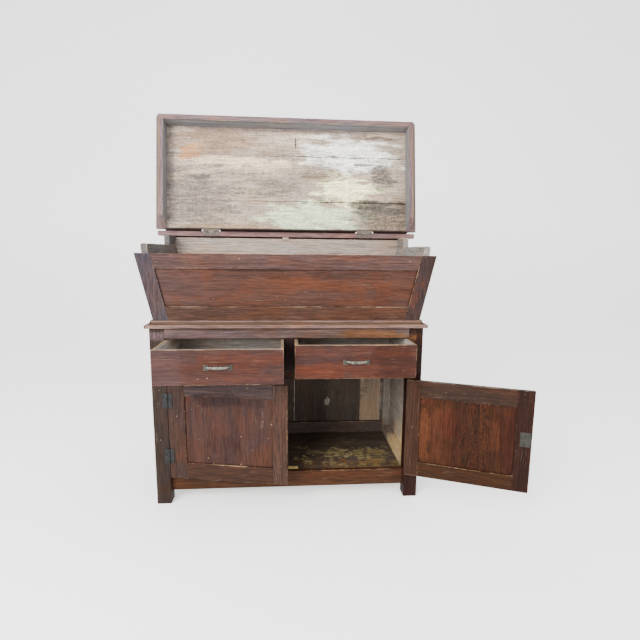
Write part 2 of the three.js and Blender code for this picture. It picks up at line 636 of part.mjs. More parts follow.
/** A cast bow pull, centred on the drawer front with its feet against Y = 0. */
function makePull() {
  const { width, height, thickness } = PULL_FOOT;
  const half = PULL_SPAN / 2;
  const at = (x, y) => new THREE.Vector3(x, -y, 0);
  const turn = PULL_REACH - PULL_CORNER;
  const flat = half - PULL_CORNER;
  const path = new THREE.CurvePath();
  path.add(new THREE.LineCurve3(at(-half, thickness / 2), at(-half, turn)));
  path.add(new THREE.QuadraticBezierCurve3(at(-half, turn), at(-half, PULL_REACH), at(-flat, PULL_REACH)));
  path.add(new THREE.LineCurve3(at(-flat, PULL_REACH), at(flat, PULL_REACH)));
  path.add(new THREE.QuadraticBezierCurve3(at(flat, PULL_REACH), at(half, PULL_REACH), at(half, turn)));
  path.add(new THREE.LineCurve3(at(half, turn), at(half, thickness / 2)));
  const section = new THREE.Shape();
  section.absellipse(0, 0, PULL_GRIP.width / 2, PULL_GRIP.thickness / 2, 0, 2 * Math.PI);
  const fineness = { steps: PULL_GRIP.steps, curveSegments: PULL_GRIP.sides / 2 };
  const grip = new THREE.ExtrudeGeometry(section, { ...fineness, extrudePath: path });
  const feet = SIDES.map(({ sign }) => {
    const across = [sign * half - width / 2, sign * half + width / 2];
    return block(across, [-thickness, -SEAT_GAP], [-height / 2, height / 2]);
  });
  return join(grip, ...feet);
}

/** A drawer, drawn shut; its group carries it out along -Y. */
function makeDrawer({ side, sign }, out) {
  const outer = sign * (LEG_INNER - RUNNING_GAP);
  const inner = sign * (DIVIDER_WIDTH / 2 + RUNNING_GAP);
  const xs = [Math.min(outer, inner), Math.max(outer, inner)];
  const zs = [DRAWER_BOTTOM, DRAWER_TOP];
  const sideY = [DRAWER_FRONT_THICKNESS + SEAT_GAP, DRAWER_LENGTH];
  const inside = [xs[0] + DRAWER_SIDE_THICKNESS + SEAT_GAP, xs[1] - DRAWER_SIDE_THICKNESS - SEAT_GAP];
  const backY = [DRAWER_LENGTH - DRAWER_SIDE_THICKNESS, DRAWER_LENGTH];
  const bottomFoot = DRAWER_BOTTOM + DRAWER_BOTTOM_LIFT;
  const bottomZ = [bottomFoot, bottomFoot + DRAWER_BOTTOM_THICKNESS];
  const bottomY = [DRAWER_FRONT_THICKNESS + SEAT_GAP, backY[0] - SEAT_GAP];
  const walls = [
    ["left_wall", [xs[0], xs[0] + DRAWER_SIDE_THICKNESS]],
    ["right_wall", [xs[1] - DRAWER_SIDE_THICKNESS, xs[1]]],
  ];
  const pull = piece(`${side}_drawer_pull`, makePull(), CAST);
  pull.position.set((xs[0] + xs[1]) / 2, 0, (zs[0] + zs[1]) / 2);
  const drawer = assembly(
    `${side}_drawer`,
    piece(`${side}_drawer_front`, block(xs, [0, DRAWER_FRONT_THICKNESS], zs), STAINED),
    ...walls.map(([name, wall]) => piece(`${side}_drawer_${name}`, block(wall, sideY, zs), DRAWER_WOOD)),
    piece(`${side}_drawer_back`, block(inside, backY, zs), DRAWER_WOOD),
    piece(`${side}_drawer_bottom`, block(inside, bottomY, bottomZ), DRAWER_WOOD),
    pull,
  );
  drawer.position.y = -out;
  return drawer;
}

// ---------------------------------------------------------------- doors

const DOOR_PIN_Y = -(KNUCKLE_RADIUS + SEAT_GAP); // pin in front of the door face
const DOOR_PIN_X = LEG_INNER - RUNNING_GAP / 2;
const DOOR_NEAR = RUNNING_GAP / 2; // from the pin to the hinge edge of the door
const DOOR_FAR = DOOR_PIN_X - RUNNING_GAP / 2; // from the pin to the free edge
const DOOR_FACE = -DOOR_PIN_Y; // outer face behind the pin

const HINGE_FEET = {
  upper: DOOR_BOTTOM + DOOR_HEIGHT - DOOR_HINGE.topInset - DOOR_HINGE.height,
  lower: DOOR_BOTTOM + DOOR_HINGE.bottomInset,
};

/** Hinge leaves of one door, each at its height; kind is fixed or moving. */
function doorLeaves({ side, sign }, kind) {
  return Object.entries(HINGE_FEET).map(([level, z]) => {
    const leaf = piece(`${side}_door_${level}_hinge_${kind}_leaf`, doorHingeLeaves(-sign)[kind], IRON);
    leaf.position.z = z;
    return leaf;
  });
}

const LOCK_Z = DOOR_BOTTOM + LOCK_PLATE.lift + LOCK_PLATE.height / 2;
const BOLT_Y = DOOR_FACE + DOOR_THICKNESS - LOCK_PLATE.thickness - LOCK_CASE.thickness / 2;

/** Limits of a box that is centred on the bolt in height and depth. */
function roundBolt(xs, extra) {
  const halfY = LOCK_BOLT.thickness / 2 + extra;
  const halfZ = LOCK_BOLT.height / 2 + extra;
  return block(xs, [BOLT_Y - halfY, BOLT_Y + halfY], [LOCK_Z - halfZ, LOCK_Z + halfZ]);
}

/** A door frame with its panel, round the hinge pin; direction points from the pin to the free edge. */
function makeDoorLeaf({ side }, direction, frame, cutters) {
  const ys = [DOOR_FACE, DOOR_FACE + DOOR_THICKNESS];
  const zs = [DOOR_BOTTOM, DOOR_BOTTOM + DOOR_HEIGHT];
  const sightX = [direction * (DOOR_NEAR + frame.hingeStile), direction * (DOOR_FAR - frame.freeStile)];
  const sightZ = [zs[0] + frame.bottomRail, zs[1] - frame.topRail];
  const board = block([direction * DOOR_NEAR, direction * DOOR_FAR], ys, zs);
  const hole = block(sightX, widened(ys), sightZ);
  const panelX = [sightX[0] + direction * SEAT_GAP, sightX[1] - direction * SEAT_GAP];
  const panelY = [ys[0] + DOOR_PANEL_INSET, ys[0] + DOOR_PANEL_INSET + DOOR_PANEL_THICKNESS];
  const panelZ = [sightZ[0] + SEAT_GAP, sightZ[1] - SEAT_GAP];
  return [
    piece(`${side}_door_frame`, cut(board, hole, ...cutters), STAINED),
    piece(`${side}_door_panel`, block(panelX, panelY, panelZ), STAINED),
  ];
}

function makeLeftDoor() {
  const keeperX = [DOOR_FAR - KEEPER_DEPTH, DOOR_FAR + OVERCUT];
  const keeper = roundBolt(keeperX, KEEPER_CLEARANCE);
  const [left] = SIDES;
  const boards = makeDoorLeaf(left, 1, LEFT_DOOR_FRAME, [keeper]);
  const door = assembly("left_door", ...boards, ...doorLeaves(left, "moving"));
  door.position.set(-DOOR_PIN_X, DOOR_PIN_Y, 0);
  door.rotation.z = -THREE.MathUtils.degToRad(LEFT_DOOR_OPEN);
  return door;
}

/** The right door, with the lock let into the inner face of its free stile. */
function makeRightDoor() {
  const inner = DOOR_FACE + DOOR_THICKNESS;
  const edge = -DOOR_FAR;
  const plateBack = inner - LOCK_PLATE.thickness;
  const caseBack = plateBack - LOCK_CASE.thickness;
  const lockPiece = ({ width, height }, depth) =>
    block([edge, edge + width], [depth, inner], [LOCK_Z - height / 2, LOCK_Z + height / 2]);
  const mortise = ({ width, height }, depth) => {
    const halfHeight = height / 2 + SEAT_GAP;
    const across = [edge - OVERCUT, edge + width + SEAT_GAP];
    return block(across, [depth - SEAT_GAP, inner + OVERCUT], [LOCK_Z - halfHeight, LOCK_Z + halfHeight]);
  };
  const mortises = [mortise(LOCK_PLATE, plateBack), mortise(LOCK_CASE, caseBack)];
  const boltStart = edge + LOCK_BOLT.recess;
  const boltEnd = boltStart + LOCK_BOLT.length;
  const channel = roundBolt([edge - OVERCUT, boltEnd + RUNNING_GAP], LOCK_BOLT.clearance);
  const lock = join(lockPiece(LOCK_PLATE, plateBack), lockPiece(LOCK_CASE, caseBack));
  const bolt = roundBolt([boltStart, boltEnd], 0);
  const [, right] = SIDES;
  const door = assembly(
    "right_door",
    ...makeDoorLeaf(right, -1, RIGHT_DOOR_FRAME, mortises),
    ...doorLeaves(right, "moving"),
    piece("lock_case", cut(lock, channel), CAST),
    piece("lock_bolt", bolt, IRON),
  );
  door.position.set(DOOR_PIN_X, DOOR_PIN_Y, 0);
  door.rotation.z = THREE.MathUtils.degToRad(RIGHT_DOOR_OPEN);
  return door;
}

/** The leaves that stay on the legs. */
function makeFixedDoorLeaves() {
  return SIDES.map(({ side, sign }) => {
    const group = assembly(`${side}_fixed_leaves`, ...doorLeaves({ side, sign }, "fixed"));
    group.position.set(sign * DOOR_PIN_X, DOOR_PIN_Y, 0);
    return group;
  });
}

// ---------------------------------------------------------------- the whole cabinet

const cabinet = assembly(
  "bakers_cabinet",
  ...makeLegs(),
  ...makeFrontFrame(),
  ...SIDES.map(makeSide),
  ...makeFloor(),
  ...makeBack(),
  makeCentreRunner(),
  makeWaistMoulding(),
  makeTroughFloor(),
  ...makeTroughFront(),
  ...SIDES.map(makeTroughSide),
  makeTroughBack(),
  makeHingeRail(),
  ...makeFixedLidLeaves(),
  makeLid(),
  makeDrawer(SIDES[0], LEFT_DRAWER_OUT),
  makeDrawer(SIDES[1], RIGHT_DRAWER_OUT),
  ...makeFixedDoorLeaves(),
  makeLeftDoor(),
  makeRightDoor(),
);

// The origin is the middle of the footprint, on the ground, with lid, doors and drawers as drawn.
cabinet.updateMatrixWorld(true);
const footprint = new THREE.Box3().setFromObject(cabinet, true);
const middle = footprint.getCenter(new THREE.Vector3());
cabinet.position.set(-middle.x, -middle.y, -footprint.min.z);

export default cabinet;
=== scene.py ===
"""A worn bakers cabinet, dressed board by board over its packed construction.

Metres, Z up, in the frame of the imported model. Every board is one closed surface with eased and dented
edges. It carries its own place, figure, edge and tint as attributes, and the finishes read those, so
that grain runs along each board and wear follows its arrises.
"""
import json
import logging
import math
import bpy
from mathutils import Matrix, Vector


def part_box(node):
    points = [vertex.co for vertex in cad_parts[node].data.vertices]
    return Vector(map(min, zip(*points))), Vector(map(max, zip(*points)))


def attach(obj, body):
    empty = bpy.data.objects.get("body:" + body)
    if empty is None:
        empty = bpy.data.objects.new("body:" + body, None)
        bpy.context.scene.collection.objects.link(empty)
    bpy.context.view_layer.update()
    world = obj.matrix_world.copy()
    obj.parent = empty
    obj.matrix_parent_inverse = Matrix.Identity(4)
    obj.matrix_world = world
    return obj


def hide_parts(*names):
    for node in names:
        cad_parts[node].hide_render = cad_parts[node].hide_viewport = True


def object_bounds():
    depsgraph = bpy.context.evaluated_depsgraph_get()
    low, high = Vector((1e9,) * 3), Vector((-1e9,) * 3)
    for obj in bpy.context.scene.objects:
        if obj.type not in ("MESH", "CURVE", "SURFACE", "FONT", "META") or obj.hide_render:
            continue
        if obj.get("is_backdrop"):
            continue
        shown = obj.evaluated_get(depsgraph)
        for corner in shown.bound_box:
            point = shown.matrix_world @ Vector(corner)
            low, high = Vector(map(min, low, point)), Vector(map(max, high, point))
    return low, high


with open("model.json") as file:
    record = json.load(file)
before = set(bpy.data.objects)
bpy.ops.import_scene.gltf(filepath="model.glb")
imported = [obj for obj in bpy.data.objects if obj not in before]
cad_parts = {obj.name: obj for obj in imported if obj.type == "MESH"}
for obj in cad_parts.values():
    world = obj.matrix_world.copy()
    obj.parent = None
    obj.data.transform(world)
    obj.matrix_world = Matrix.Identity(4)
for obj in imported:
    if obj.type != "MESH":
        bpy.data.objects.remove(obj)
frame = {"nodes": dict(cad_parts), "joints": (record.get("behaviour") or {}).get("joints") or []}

import zlib
from dataclasses import dataclass, field, replace
from enum import Enum
from functools import cache, wraps
from typing import Callable, Sequence

import bpy
import numpy as np
from mathutils import Matrix

Array = np.ndarray
Triple = tuple[float, float, float]
Colour = Triple
Pair = tuple[float, float]
Socket = bpy.types.NodeSocket
Sockets = bpy.types.bpy_prop_collection
Value = float | tuple | Socket

CAD_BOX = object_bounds()
MM = 0.001
SEAT_GAP = 0.3 * MM  # between boards that touch
LEAST_EASE = 0.15 * MM
JOINT = 0.4 * MM  # easing of an edge that meets its neighbour, which is never rubbed bare
DENTED = 0.6 * MM  # a smaller easing has no dents
EDGE_REACH = 12 * MM  # distance from an arris at which the edge attribute is 1
WORN = 2.0 * MM  # easing of an edge that hands and feet have rubbed
PLAIN: Colour = (1.0, 1.0, 1.0)
NOWHERE: Triple = (0.0, 0.0, 0.0)
# How the plain finishes show on screen.
STAIN, INDOOR, SCOURED, DRAWER_SIDE = (115, 82, 70), (90, 79, 68), (178, 168, 158), (150, 132, 106)
HALF, STEEP = 0.22, 0.83  # middle and slope of the renderer's tone curve
LOG = logging.getLogger("bakers_cabinet")

X, Y, Z = np.eye(3)


# ---- named choices


class Skin(Enum):
    """Which finish a face wears; the value names its material."""

    STAINED = "stained_wood"
    FADED = "faded_stained_wood"
    STAINED_PANEL = "stained_panel_wood"
    FIGURED_PANEL = "figured_panel_wood"
    DRAWER_FACE = "drawer_front_wood"
    SHADED_WOOD = "inside_wood"
    # painted shade in the waist moulding's hollow
    HOLLOW = "moulding_hollow_wood"
    PALE_WOOD = "scoured_trough_wood"
    DRAWER_WOOD = "drawer_side_wood"
    DRAWER_INSIDE = "dusty_drawer_wood"
    FLOOR_WOOD = "floor_board_wood"
    PAINT = "lid_paint"
    RIM = "lid_rim_wood"
    IRON = "hinge_iron"
    PAINTED_IRON = "painted_iron"
    CAST = "cast_pull"
    CAST_FOOT = "cast_pull_foot"
    LOCK_PLATE = "lock_plate_metal"
    SCREW = "screw_iron"
    PUTTY = "putty"

    @property
    def number(self) -> int:
        """Its number among the skins, which faces carry until they are made."""
        return list(Skin).index(self)


class Facing(Enum):
    """The way a board's face looks."""

    LEFT = (-1, 0, 0)
    RIGHT = (1, 0, 0)
    FRONT = (0, -1, 0)
    REAR = (0, 1, 0)
    DOWN = (0, 0, -1)
    UP = (0, 0, 1)


class Grain(Enum):
    """The way a board's grain runs."""

    ACROSS = 0
    DEEP = 1
    UPRIGHT = 2


class Side(Enum):
    """Left or right of the cabinet, as its user sees it; the value points outwards along X."""

    LEFT = -1
    RIGHT = 1

    @property
    def outer(self) -> int:
        """Which of a lowest and a highest corner lies on the outside: 0 or 1."""
        return (1 + self.value) // 2

    @property
    def word(self) -> str:
        """The side's name inside piece and node names."""
        return self.name.lower()


# ---- closed surfaces


@dataclass(frozen=True)
class Look:
    """What a board wears: finishes of its face, back and edges, and its colour beside the plain finish."""

    face: Skin
    back: Skin | None = None
    edges: tuple[Skin, ...] | None = None
    tint: Colour = PLAIN

    def skins(self, edge_count: int) -> tuple[Skin, Skin, tuple[Skin, ...]]:
        """Face, back and one finish for each edge, with what isn't given taken from the face."""
        edges = self.edges or (self.face,)
        return self.face, self.back or self.face, tuple(edges[i % len(edges)] for i in range(edge_count))


@dataclass
class Surface:
    """A closed surface of four-sided faces and flat caps, with what its points and faces carry."""

    points: Array
    quads: Array
    caps: list[Array]
    quad_skins: Array
    cap_skins: list[int]
    place: Array
    edge: Array
    bare: Array
    tint: Colour = PLAIN
    seed: int = 0

    def placed(self, matrix: Matrix | None) -> "Surface":
        """The surface moved and turned by a matrix.

        Args:
            matrix: A rigid 4 by 4 matrix, or None to leave the surface where it is.

        Returns:
            The moved surface.
        """
        if matrix is None:
            return self
        turn = np.array(matrix)
        return replace(self, points=self.points @ turn[:3, :3].T + turn[:3, 3])

    def face_sums(self) -> tuple[Array, Array]:
        """Area vectors of the faces.

        Returns:
            For quads, half the cross product of the diagonals. For caps, half the sum of the cross
            products of neighbouring points.
        """
        a, b, c, d = (self.points[self.quads[:, i]] for i in range(4))
        quads = np.cross(c - a, d - b) / 2
        rings = [self.points[cap] - self.points[cap[0]] for cap in self.caps]
        caps = [np.cross(ring, np.roll(ring, -1, axis=0)).sum(0) / 2 for ring in rings]
        return quads, np.array(caps).reshape(-1, 3)

    def turned_out(self) -> "Surface":
        """The surface with its faces pointing outwards: a negative enclosed volume turns them all round."""
        quads, caps = self.face_sums()
        middle = self.points.mean(0)
        reach = (self.points[self.quads].mean(1) - middle) * quads
        ends = [(self.points[cap].mean(0) - middle) @ area for cap, area in zip(self.caps, caps)]
        if reach.sum() + sum(ends) >= 0:
            return self
        return replace(self, quads=self.quads[:, ::-1], caps=[cap[::-1] for cap in self.caps])

    def normals(self) -> Array:
        """Point normals, each the sum of the area vectors of the faces round it, made one long."""
        quads, caps = self.face_sums()
        total = np.zeros_like(self.points)
        for column in range(4):
            np.add.at(total, self.quads[:, column], quads)
        for cap, area in zip(self.caps, caps):
            total[cap] += area
        return total / np.maximum(np.linalg.norm(total, axis=1, keepdims=True), 1e-12)


def loft(
    rings: Array, skin: Skin, place: Array | None = None, edge: Array | None = None,
    bare: Array | None = None, tint: Colour = PLAIN, seed: int = 0,
) -> Surface:
    """A closed surface through rings of equally many points, with a flat cap on the first and last.

    Args:
        rings: Points, as (ring, point round the ring, 3).
        skin: The finish of every face.
        place: Each point's place on its own piece, of the same shape; the points themselves if left out.
        edge: 0 on an arris to 1 away from it, as (ring, point); all 1 if left out.
        bare: 1 where the nearest arris is open to rubbing, 0 where it is covered; all 1 if left out.
        tint: Factors on the finish's colour.
        seed: Sets the piece's own figure.

    Returns:
        The surface, with its faces pointing out.
    """
    count, size = rings.shape[:2]
    index = np.arange(count * size).reshape(count, size)
    ahead = np.roll(index, -1, axis=1)
    quads = np.stack([index[:-1], ahead[:-1], ahead[1:], index[1:]], axis=-1).reshape(-1, 4)
    ones = np.ones((count, size))
    edge, bare = (ones if values is None else values for values in (edge, bare))
    return Surface(
        rings.reshape(-1, 3), quads, [index[0][::-1], index[-1]], np.full(len(quads), skin.number),
        [skin.number] * 2, (rings if place is None else place).reshape(-1, 3), edge.reshape(-1),
        bare.reshape(-1), tint, seed,
    ).turned_out()


def pillow(top: Array, bottom: Array, skin: Skin) -> Surface:
    """A closed surface from two grids of the same size, joined by a wall round their borders.

    Args:
        top: Points of the upper grid, as (row, column, 3).
        bottom: Points of the lower grid, under the upper ones.
        skin: The finish of every face.

    Returns:
        The surface, with its faces pointing out.
    """
    rows, columns = top.shape[:2]
    index = np.arange(rows * columns).reshape(rows, columns)
    cells = np.stack([index[:-1, :-1], index[:-1, 1:], index[1:, 1:], index[1:, :-1]], axis=-1)
    upper = cells.reshape(-1, 4)
    lower = upper[:, ::-1] + rows * columns
    border = np.concatenate([index[0, :-1], index[:-1, -1], index[-1, :0:-1], index[:0:-1, 0]])
    ahead = np.roll(border, -1)
    wall = np.stack([ahead, border, border + rows * columns, ahead + rows * columns], axis=-1)
    points = np.concatenate([top.reshape(-1, 3), bottom.reshape(-1, 3)])
    quads = np.concatenate([upper, lower, wall])
    ones = np.ones(len(points))
    return Surface(points, quads, [], np.full(len(quads), skin.number), [], points, ones, ones).turned_out()


# ---- boards


@dataclass(frozen=True)
class Wear:
    """How an edge has suffered: how far its easing wanders, and its dents per metre and their size."""

    wander: float = 0.35
    dents: float = 3.0
    dent_depth: float = 1.6 * MM
    dent_length: float = 9 * MM
    waves: tuple[float, ...] = (0.21, 0.067, 0.023)


def way_round(ring: Array) -> Array:
    """How far round a closed ring each of its points lies."""
    return np.cumsum(np.linalg.norm(ring - np.roll(ring, 1, axis=0), axis=1))


@dataclass
class Plank:
    """A flat board: an outline in its own length and width, carried through its thickness.

    A point is origin + length * along + width * across + depth * through. The three directions needn't
    be square to each other, so a flared board is drawn level and then leaned.
    """

    name: str
    origin: Array
    along: Array
    across: Array
    through: Array
    outline: Array
    thickness: float
    look: Look
    ease: float | tuple[float, ...] = 1.3 * MM
    corner: float | tuple[float, ...] = 1.6 * MM
    wear: Wear = field(default_factory=Wear)
    support: float = 12 * MM
    step: float = 9 * MM
    arc_points: int = 4
    round_steps: int = 4
    border_share: float = 0.42
    round_share: float = 0.8
    deepest_round: float = 0.45
    thick: float = 30 * MM

    @classmethod
    def between(
        cls, name: str, low: Sequence[float], high: Sequence[float], grain: Grain, facing: Facing, look: Look,
        **rest,
    ) -> "Plank":
        """A rectangular board that fills a box.

        Args:
            name: Names the board, and seeds its figure and dents.
            low: Lowest corner.
            high: Highest corner.
            grain: The axis of its length.
            facing: The way its face looks.
            look: What it wears.
            **rest: Other fields of the plank.

        Returns:
            The board, its outline's edges in the order: low side, far end, high side, near end.
        """
        low, high = np.minimum(low, high), np.maximum(low, high)
        normal = np.array(facing.value, float)
        depth = int(np.argmax(np.abs(normal)))
        across = ({0, 1, 2} - {grain.value, depth}).pop()
        origin = low.astype(float).copy()
        if normal[depth] > 0:
            origin[depth] = high[depth]
        size = high - low
        length, width = size[grain.value], size[across]
        outline = np.array([(0, 0), (length, 0), (length, width), (0, width)])
        along, sideways = np.eye(3)[[grain.value, across]]
        return cls(name, origin, along, sideways, -normal, outline, size[depth], look, **rest)

    @property
    def seed(self) -> int:
        """A number that stays the same for the same name."""
        return zlib.crc32(self.name.encode()) % 100000

    @property
    def lengths(self) -> Array:
        """Length of each edge of the outline."""
        return np.linalg.norm(np.roll(self.outline, -1, axis=0) - self.outline, axis=1)

    def ring(self, inset: float) -> Array:
        """The outline moved inwards, its corners rounded by arcs, with the same points at every inset.

        A corner is moved along the sum of its edges' normals over one plus their product, and its arc is
        a rational quadratic, whose middle weight is the cosine of half the turn.
        """
        corners = np.asarray(self.outline, float)
        unit = (np.roll(corners, -1, axis=0) - corners) / self.lengths[:, None]
        normal = np.stack([-unit[:, 1], unit[:, 0]], axis=1)
        before, unit_before = np.roll(normal, 1, axis=0), np.roll(unit, 1, axis=0)
        cosine = np.sum(unit * unit_before, axis=1)
        moved = corners + inset * (before + normal) / (1 + cosine)[:, None]
        radii = np.maximum(np.broadcast_to(self.corner, len(corners)) - inset, LEAST_EASE)
        reach = (radii * np.sqrt((1 - cosine) / (1 + cosine)))[:, None]
        start, end = moved - unit_before * reach, moved + unit * reach
        weight = np.sqrt((1 + cosine) / 2)[:, None, None]
        t = np.linspace(0, 1, self.arc_points)[None, :, None]
        parts = [(1 - t) ** 2, 2 * t * (1 - t) * weight, t**2]
        arcs = parts[0] * start[:, None] + parts[1] * moved[:, None] + parts[2] * end[:, None]
        arcs = arcs / sum(parts)
        stretches = []
        for i, length in enumerate(self.lengths):
            count = max(int(length / self.step), 2)
            share = (np.arange(1, count) / count)[:, None]
            target = start[(i + 1) % len(corners)]
            stretches += [arcs[i], end[i] + (target - end[i]) * share]
        return np.concatenate(stretches)

    def edge_numbers(self) -> tuple[Array, Array]:
        """For each point of a ring, the number of its edge, and its share of the turn at the last corner."""
        counts = [max(int(length / self.step), 2) - 1 + self.arc_points for length in self.lengths]
        numbers = np.repeat(np.arange(len(counts)), counts)
        turn = np.concatenate([np.minimum(np.arange(n) / (self.arc_points - 1), 1) for n in counts])
        return numbers, turn

    def easing(self, ring: Array, base: Array) -> Array:
        """Radius of the eased edge at each point: three sine waves of its place, and bell-shaped dents."""
        rng = np.random.default_rng(self.seed)
        s = way_round(ring)
        phases = [rng.uniform(0, 2 * math.pi) for _ in self.wear.waves]
        waves = [np.sin(s * 2 * math.pi / wave + phase) for wave, phase in zip(self.wear.waves, phases)]
        radius = base * (1 + self.wear.wander * (sum(waves) / len(waves)))
        count = int(rng.poisson(self.wear.dents * s[-1]))
        centres, depths = rng.uniform(0, s[-1], count), rng.uniform(0.15, 1, count) ** 2
        for centre, depth in zip(centres, depths):
            bell = np.exp(-(((s - centre) / (self.wear.dent_length / 2)) ** 2))
            radius = radius + self.wear.dent_depth * depth * bell * (base > DENTED)
        return np.clip(radius, LEAST_EASE, self.thickness * self.deepest_round)

    def surface(self) -> Surface:
        """The closed board.

        At each point of the outline the profile goes from the face, round a quarter circle of that
        point's easing radius, down the edge, and round another onto the back. An inset is a share of the
        way from the outline to its ring one support width inside.
        """
        support = min(self.support, self.border_share * self.lengths.min())
        outer, inner = self.ring(0.0), self.ring(support)
        numbers, turn = self.edge_numbers()
        ease = np.broadcast_to(self.ease, len(self.outline)).astype(float)
        base = ease[numbers - 1] * (1 - turn) + ease[numbers] * turn
        radius = np.minimum(self.easing(outer, base), support * self.round_share)
        angle = np.linspace(0, math.pi / 2, self.round_steps + 1)[:, None]
        inset, depth = radius * (1 - np.sin(angle)), radius * (1 - np.cos(angle))
        flat = np.full((1, len(radius)), support)
        nil = np.zeros_like(flat)
        mids = np.array([0.5] if self.thickness < self.thick else [0.25, 0.75])
        middle = self.thickness * mids[:, None] + 0 * radius
        inset = np.concatenate([flat, inset, 0 * middle, inset[::-1], flat])
        depth = np.concatenate([nil, depth, middle, self.thickness - depth[::-1], nil + self.thickness])
        plane = outer + (inner - outer) * (inset / support)[..., None]
        place = np.concatenate([plane, depth[..., None]], axis=-1)
        points = self.origin + place[..., :1] * self.along + place[..., 1:2] * self.across
        points = points + place[..., 2:] * self.through
        s = way_round(outer)
        corner_s = s[np.searchsorted(numbers, np.arange(len(self.outline)))]
        gap = np.abs(s[:, None] - corner_s[None])
        to_corner = np.minimum(gap, s[-1] - gap).min(1)
        from_arris = np.abs(inset - np.minimum(depth, self.thickness - depth))
        edge = np.where(inset < radius / 2, np.minimum(from_arris, to_corner), from_arris)
        edge = np.clip(edge / EDGE_REACH, 0, 1)
        bare = np.clip((base - JOINT) / (WORN - JOINT), 0, 1) + 0 * edge
        made = loft(points, self.look.face, place, edge, bare, self.look.tint, self.seed)
        face, back, sides = self.look.skins(len(self.outline))
        order = np.array([skin.number for skin in sides])
        strips, half = len(inset) - 1, 1 + self.round_steps // 2
        skins = np.repeat(order[numbers][None], strips, axis=0)
        skins[:half], skins[-half:] = face.number, back.number
        return replace(made, quad_skins=skins.reshape(-1), cap_skins=[face.number, back.number])


# ---- pieces


@dataclass
class Piece:
    """One object of the dressed cabinet: surfaces that move together and may stand for a CAD node."""

    name: str
    node: str = ""
    body: str = "cabinet"
    slot: str = "stained_wood"
    surfaces: list[Surface] = field(default_factory=list)

    def add(self, *shapes: "Plank | Surface", matrix: Matrix | None = None) -> "Piece":
        """Adds boards or surfaces, moved by a matrix if one is given."""
        made = [shape.surface() if isinstance(shape, Plank) else shape for shape in shapes]
        self.surfaces += [surface.placed(matrix) for surface in made]
        return self

    def make(self) -> bpy.types.Object:
        """Puts the surfaces into one mesh object that rides on its body."""
        starts = np.cumsum([0] + [len(s.points) for s in self.surfaces])
        faces, skins = [], []
        for surface, start in zip(self.surfaces, starts):
            faces += (surface.quads + start).tolist() + [(cap + start).tolist() for cap in surface.caps]
            skins += surface.quad_skins.tolist() + surface.cap_skins
        points = np.concatenate([s.points for s in self.surfaces])
        mesh = bpy.data.meshes.new(self.name)
        mesh.from_pydata(points.tolist(), [], faces)
        used = sorted(set(skins))
        for number in used:
            mesh.materials.append(material(list(Skin)[number]))
        slots = np.searchsorted(used, skins)
        mesh.polygons.foreach_set("material_index", slots.astype(np.int32))
        mesh.polygons.foreach_set("use_smooth", np.ones(len(faces), bool))
        self.write_facts(mesh)
        mesh.update()
        normals = np.concatenate([s.normals() for s in self.surfaces])
        mesh.normals_split_custom_set_from_vertices(normals.tolist())
        made = bpy.data.objects.new(self.name, mesh)
        bpy.context.scene.collection.objects.link(made)
        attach(made, self.body)
        if self.node:
            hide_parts(self.node)
        LOG.info("%s: %d faces on %s", self.name, len(faces), self.body)
        return made

    def write_facts(self, mesh: bpy.types.Mesh) -> None:
        """Writes place, figure, tint, edge and bare onto the mesh's points."""
        offsets = [np.random.default_rng(s.seed).uniform(-9, 9, 3) for s in self.surfaces]
        facts = {
            "place": [s.place for s in self.surfaces],
            "figure": [s.place + offset for s, offset in zip(self.surfaces, offsets)],
            "tint": [np.tile(s.tint, (len(s.points), 1)) for s in self.surfaces],
            "edge": [s.edge for s in self.surfaces],
            "bare": [s.bare for s in self.surfaces],
        }
        for name, parts in facts.items():
            values = np.concatenate(parts).astype(np.float32)
            kind, key = ("FLOAT_VECTOR", "vector") if values.ndim == 2 else ("FLOAT", "value")
            mesh.attributes.new(name, kind, "POINT").data.foreach_set(key, values.ravel())


# ---- shader groups


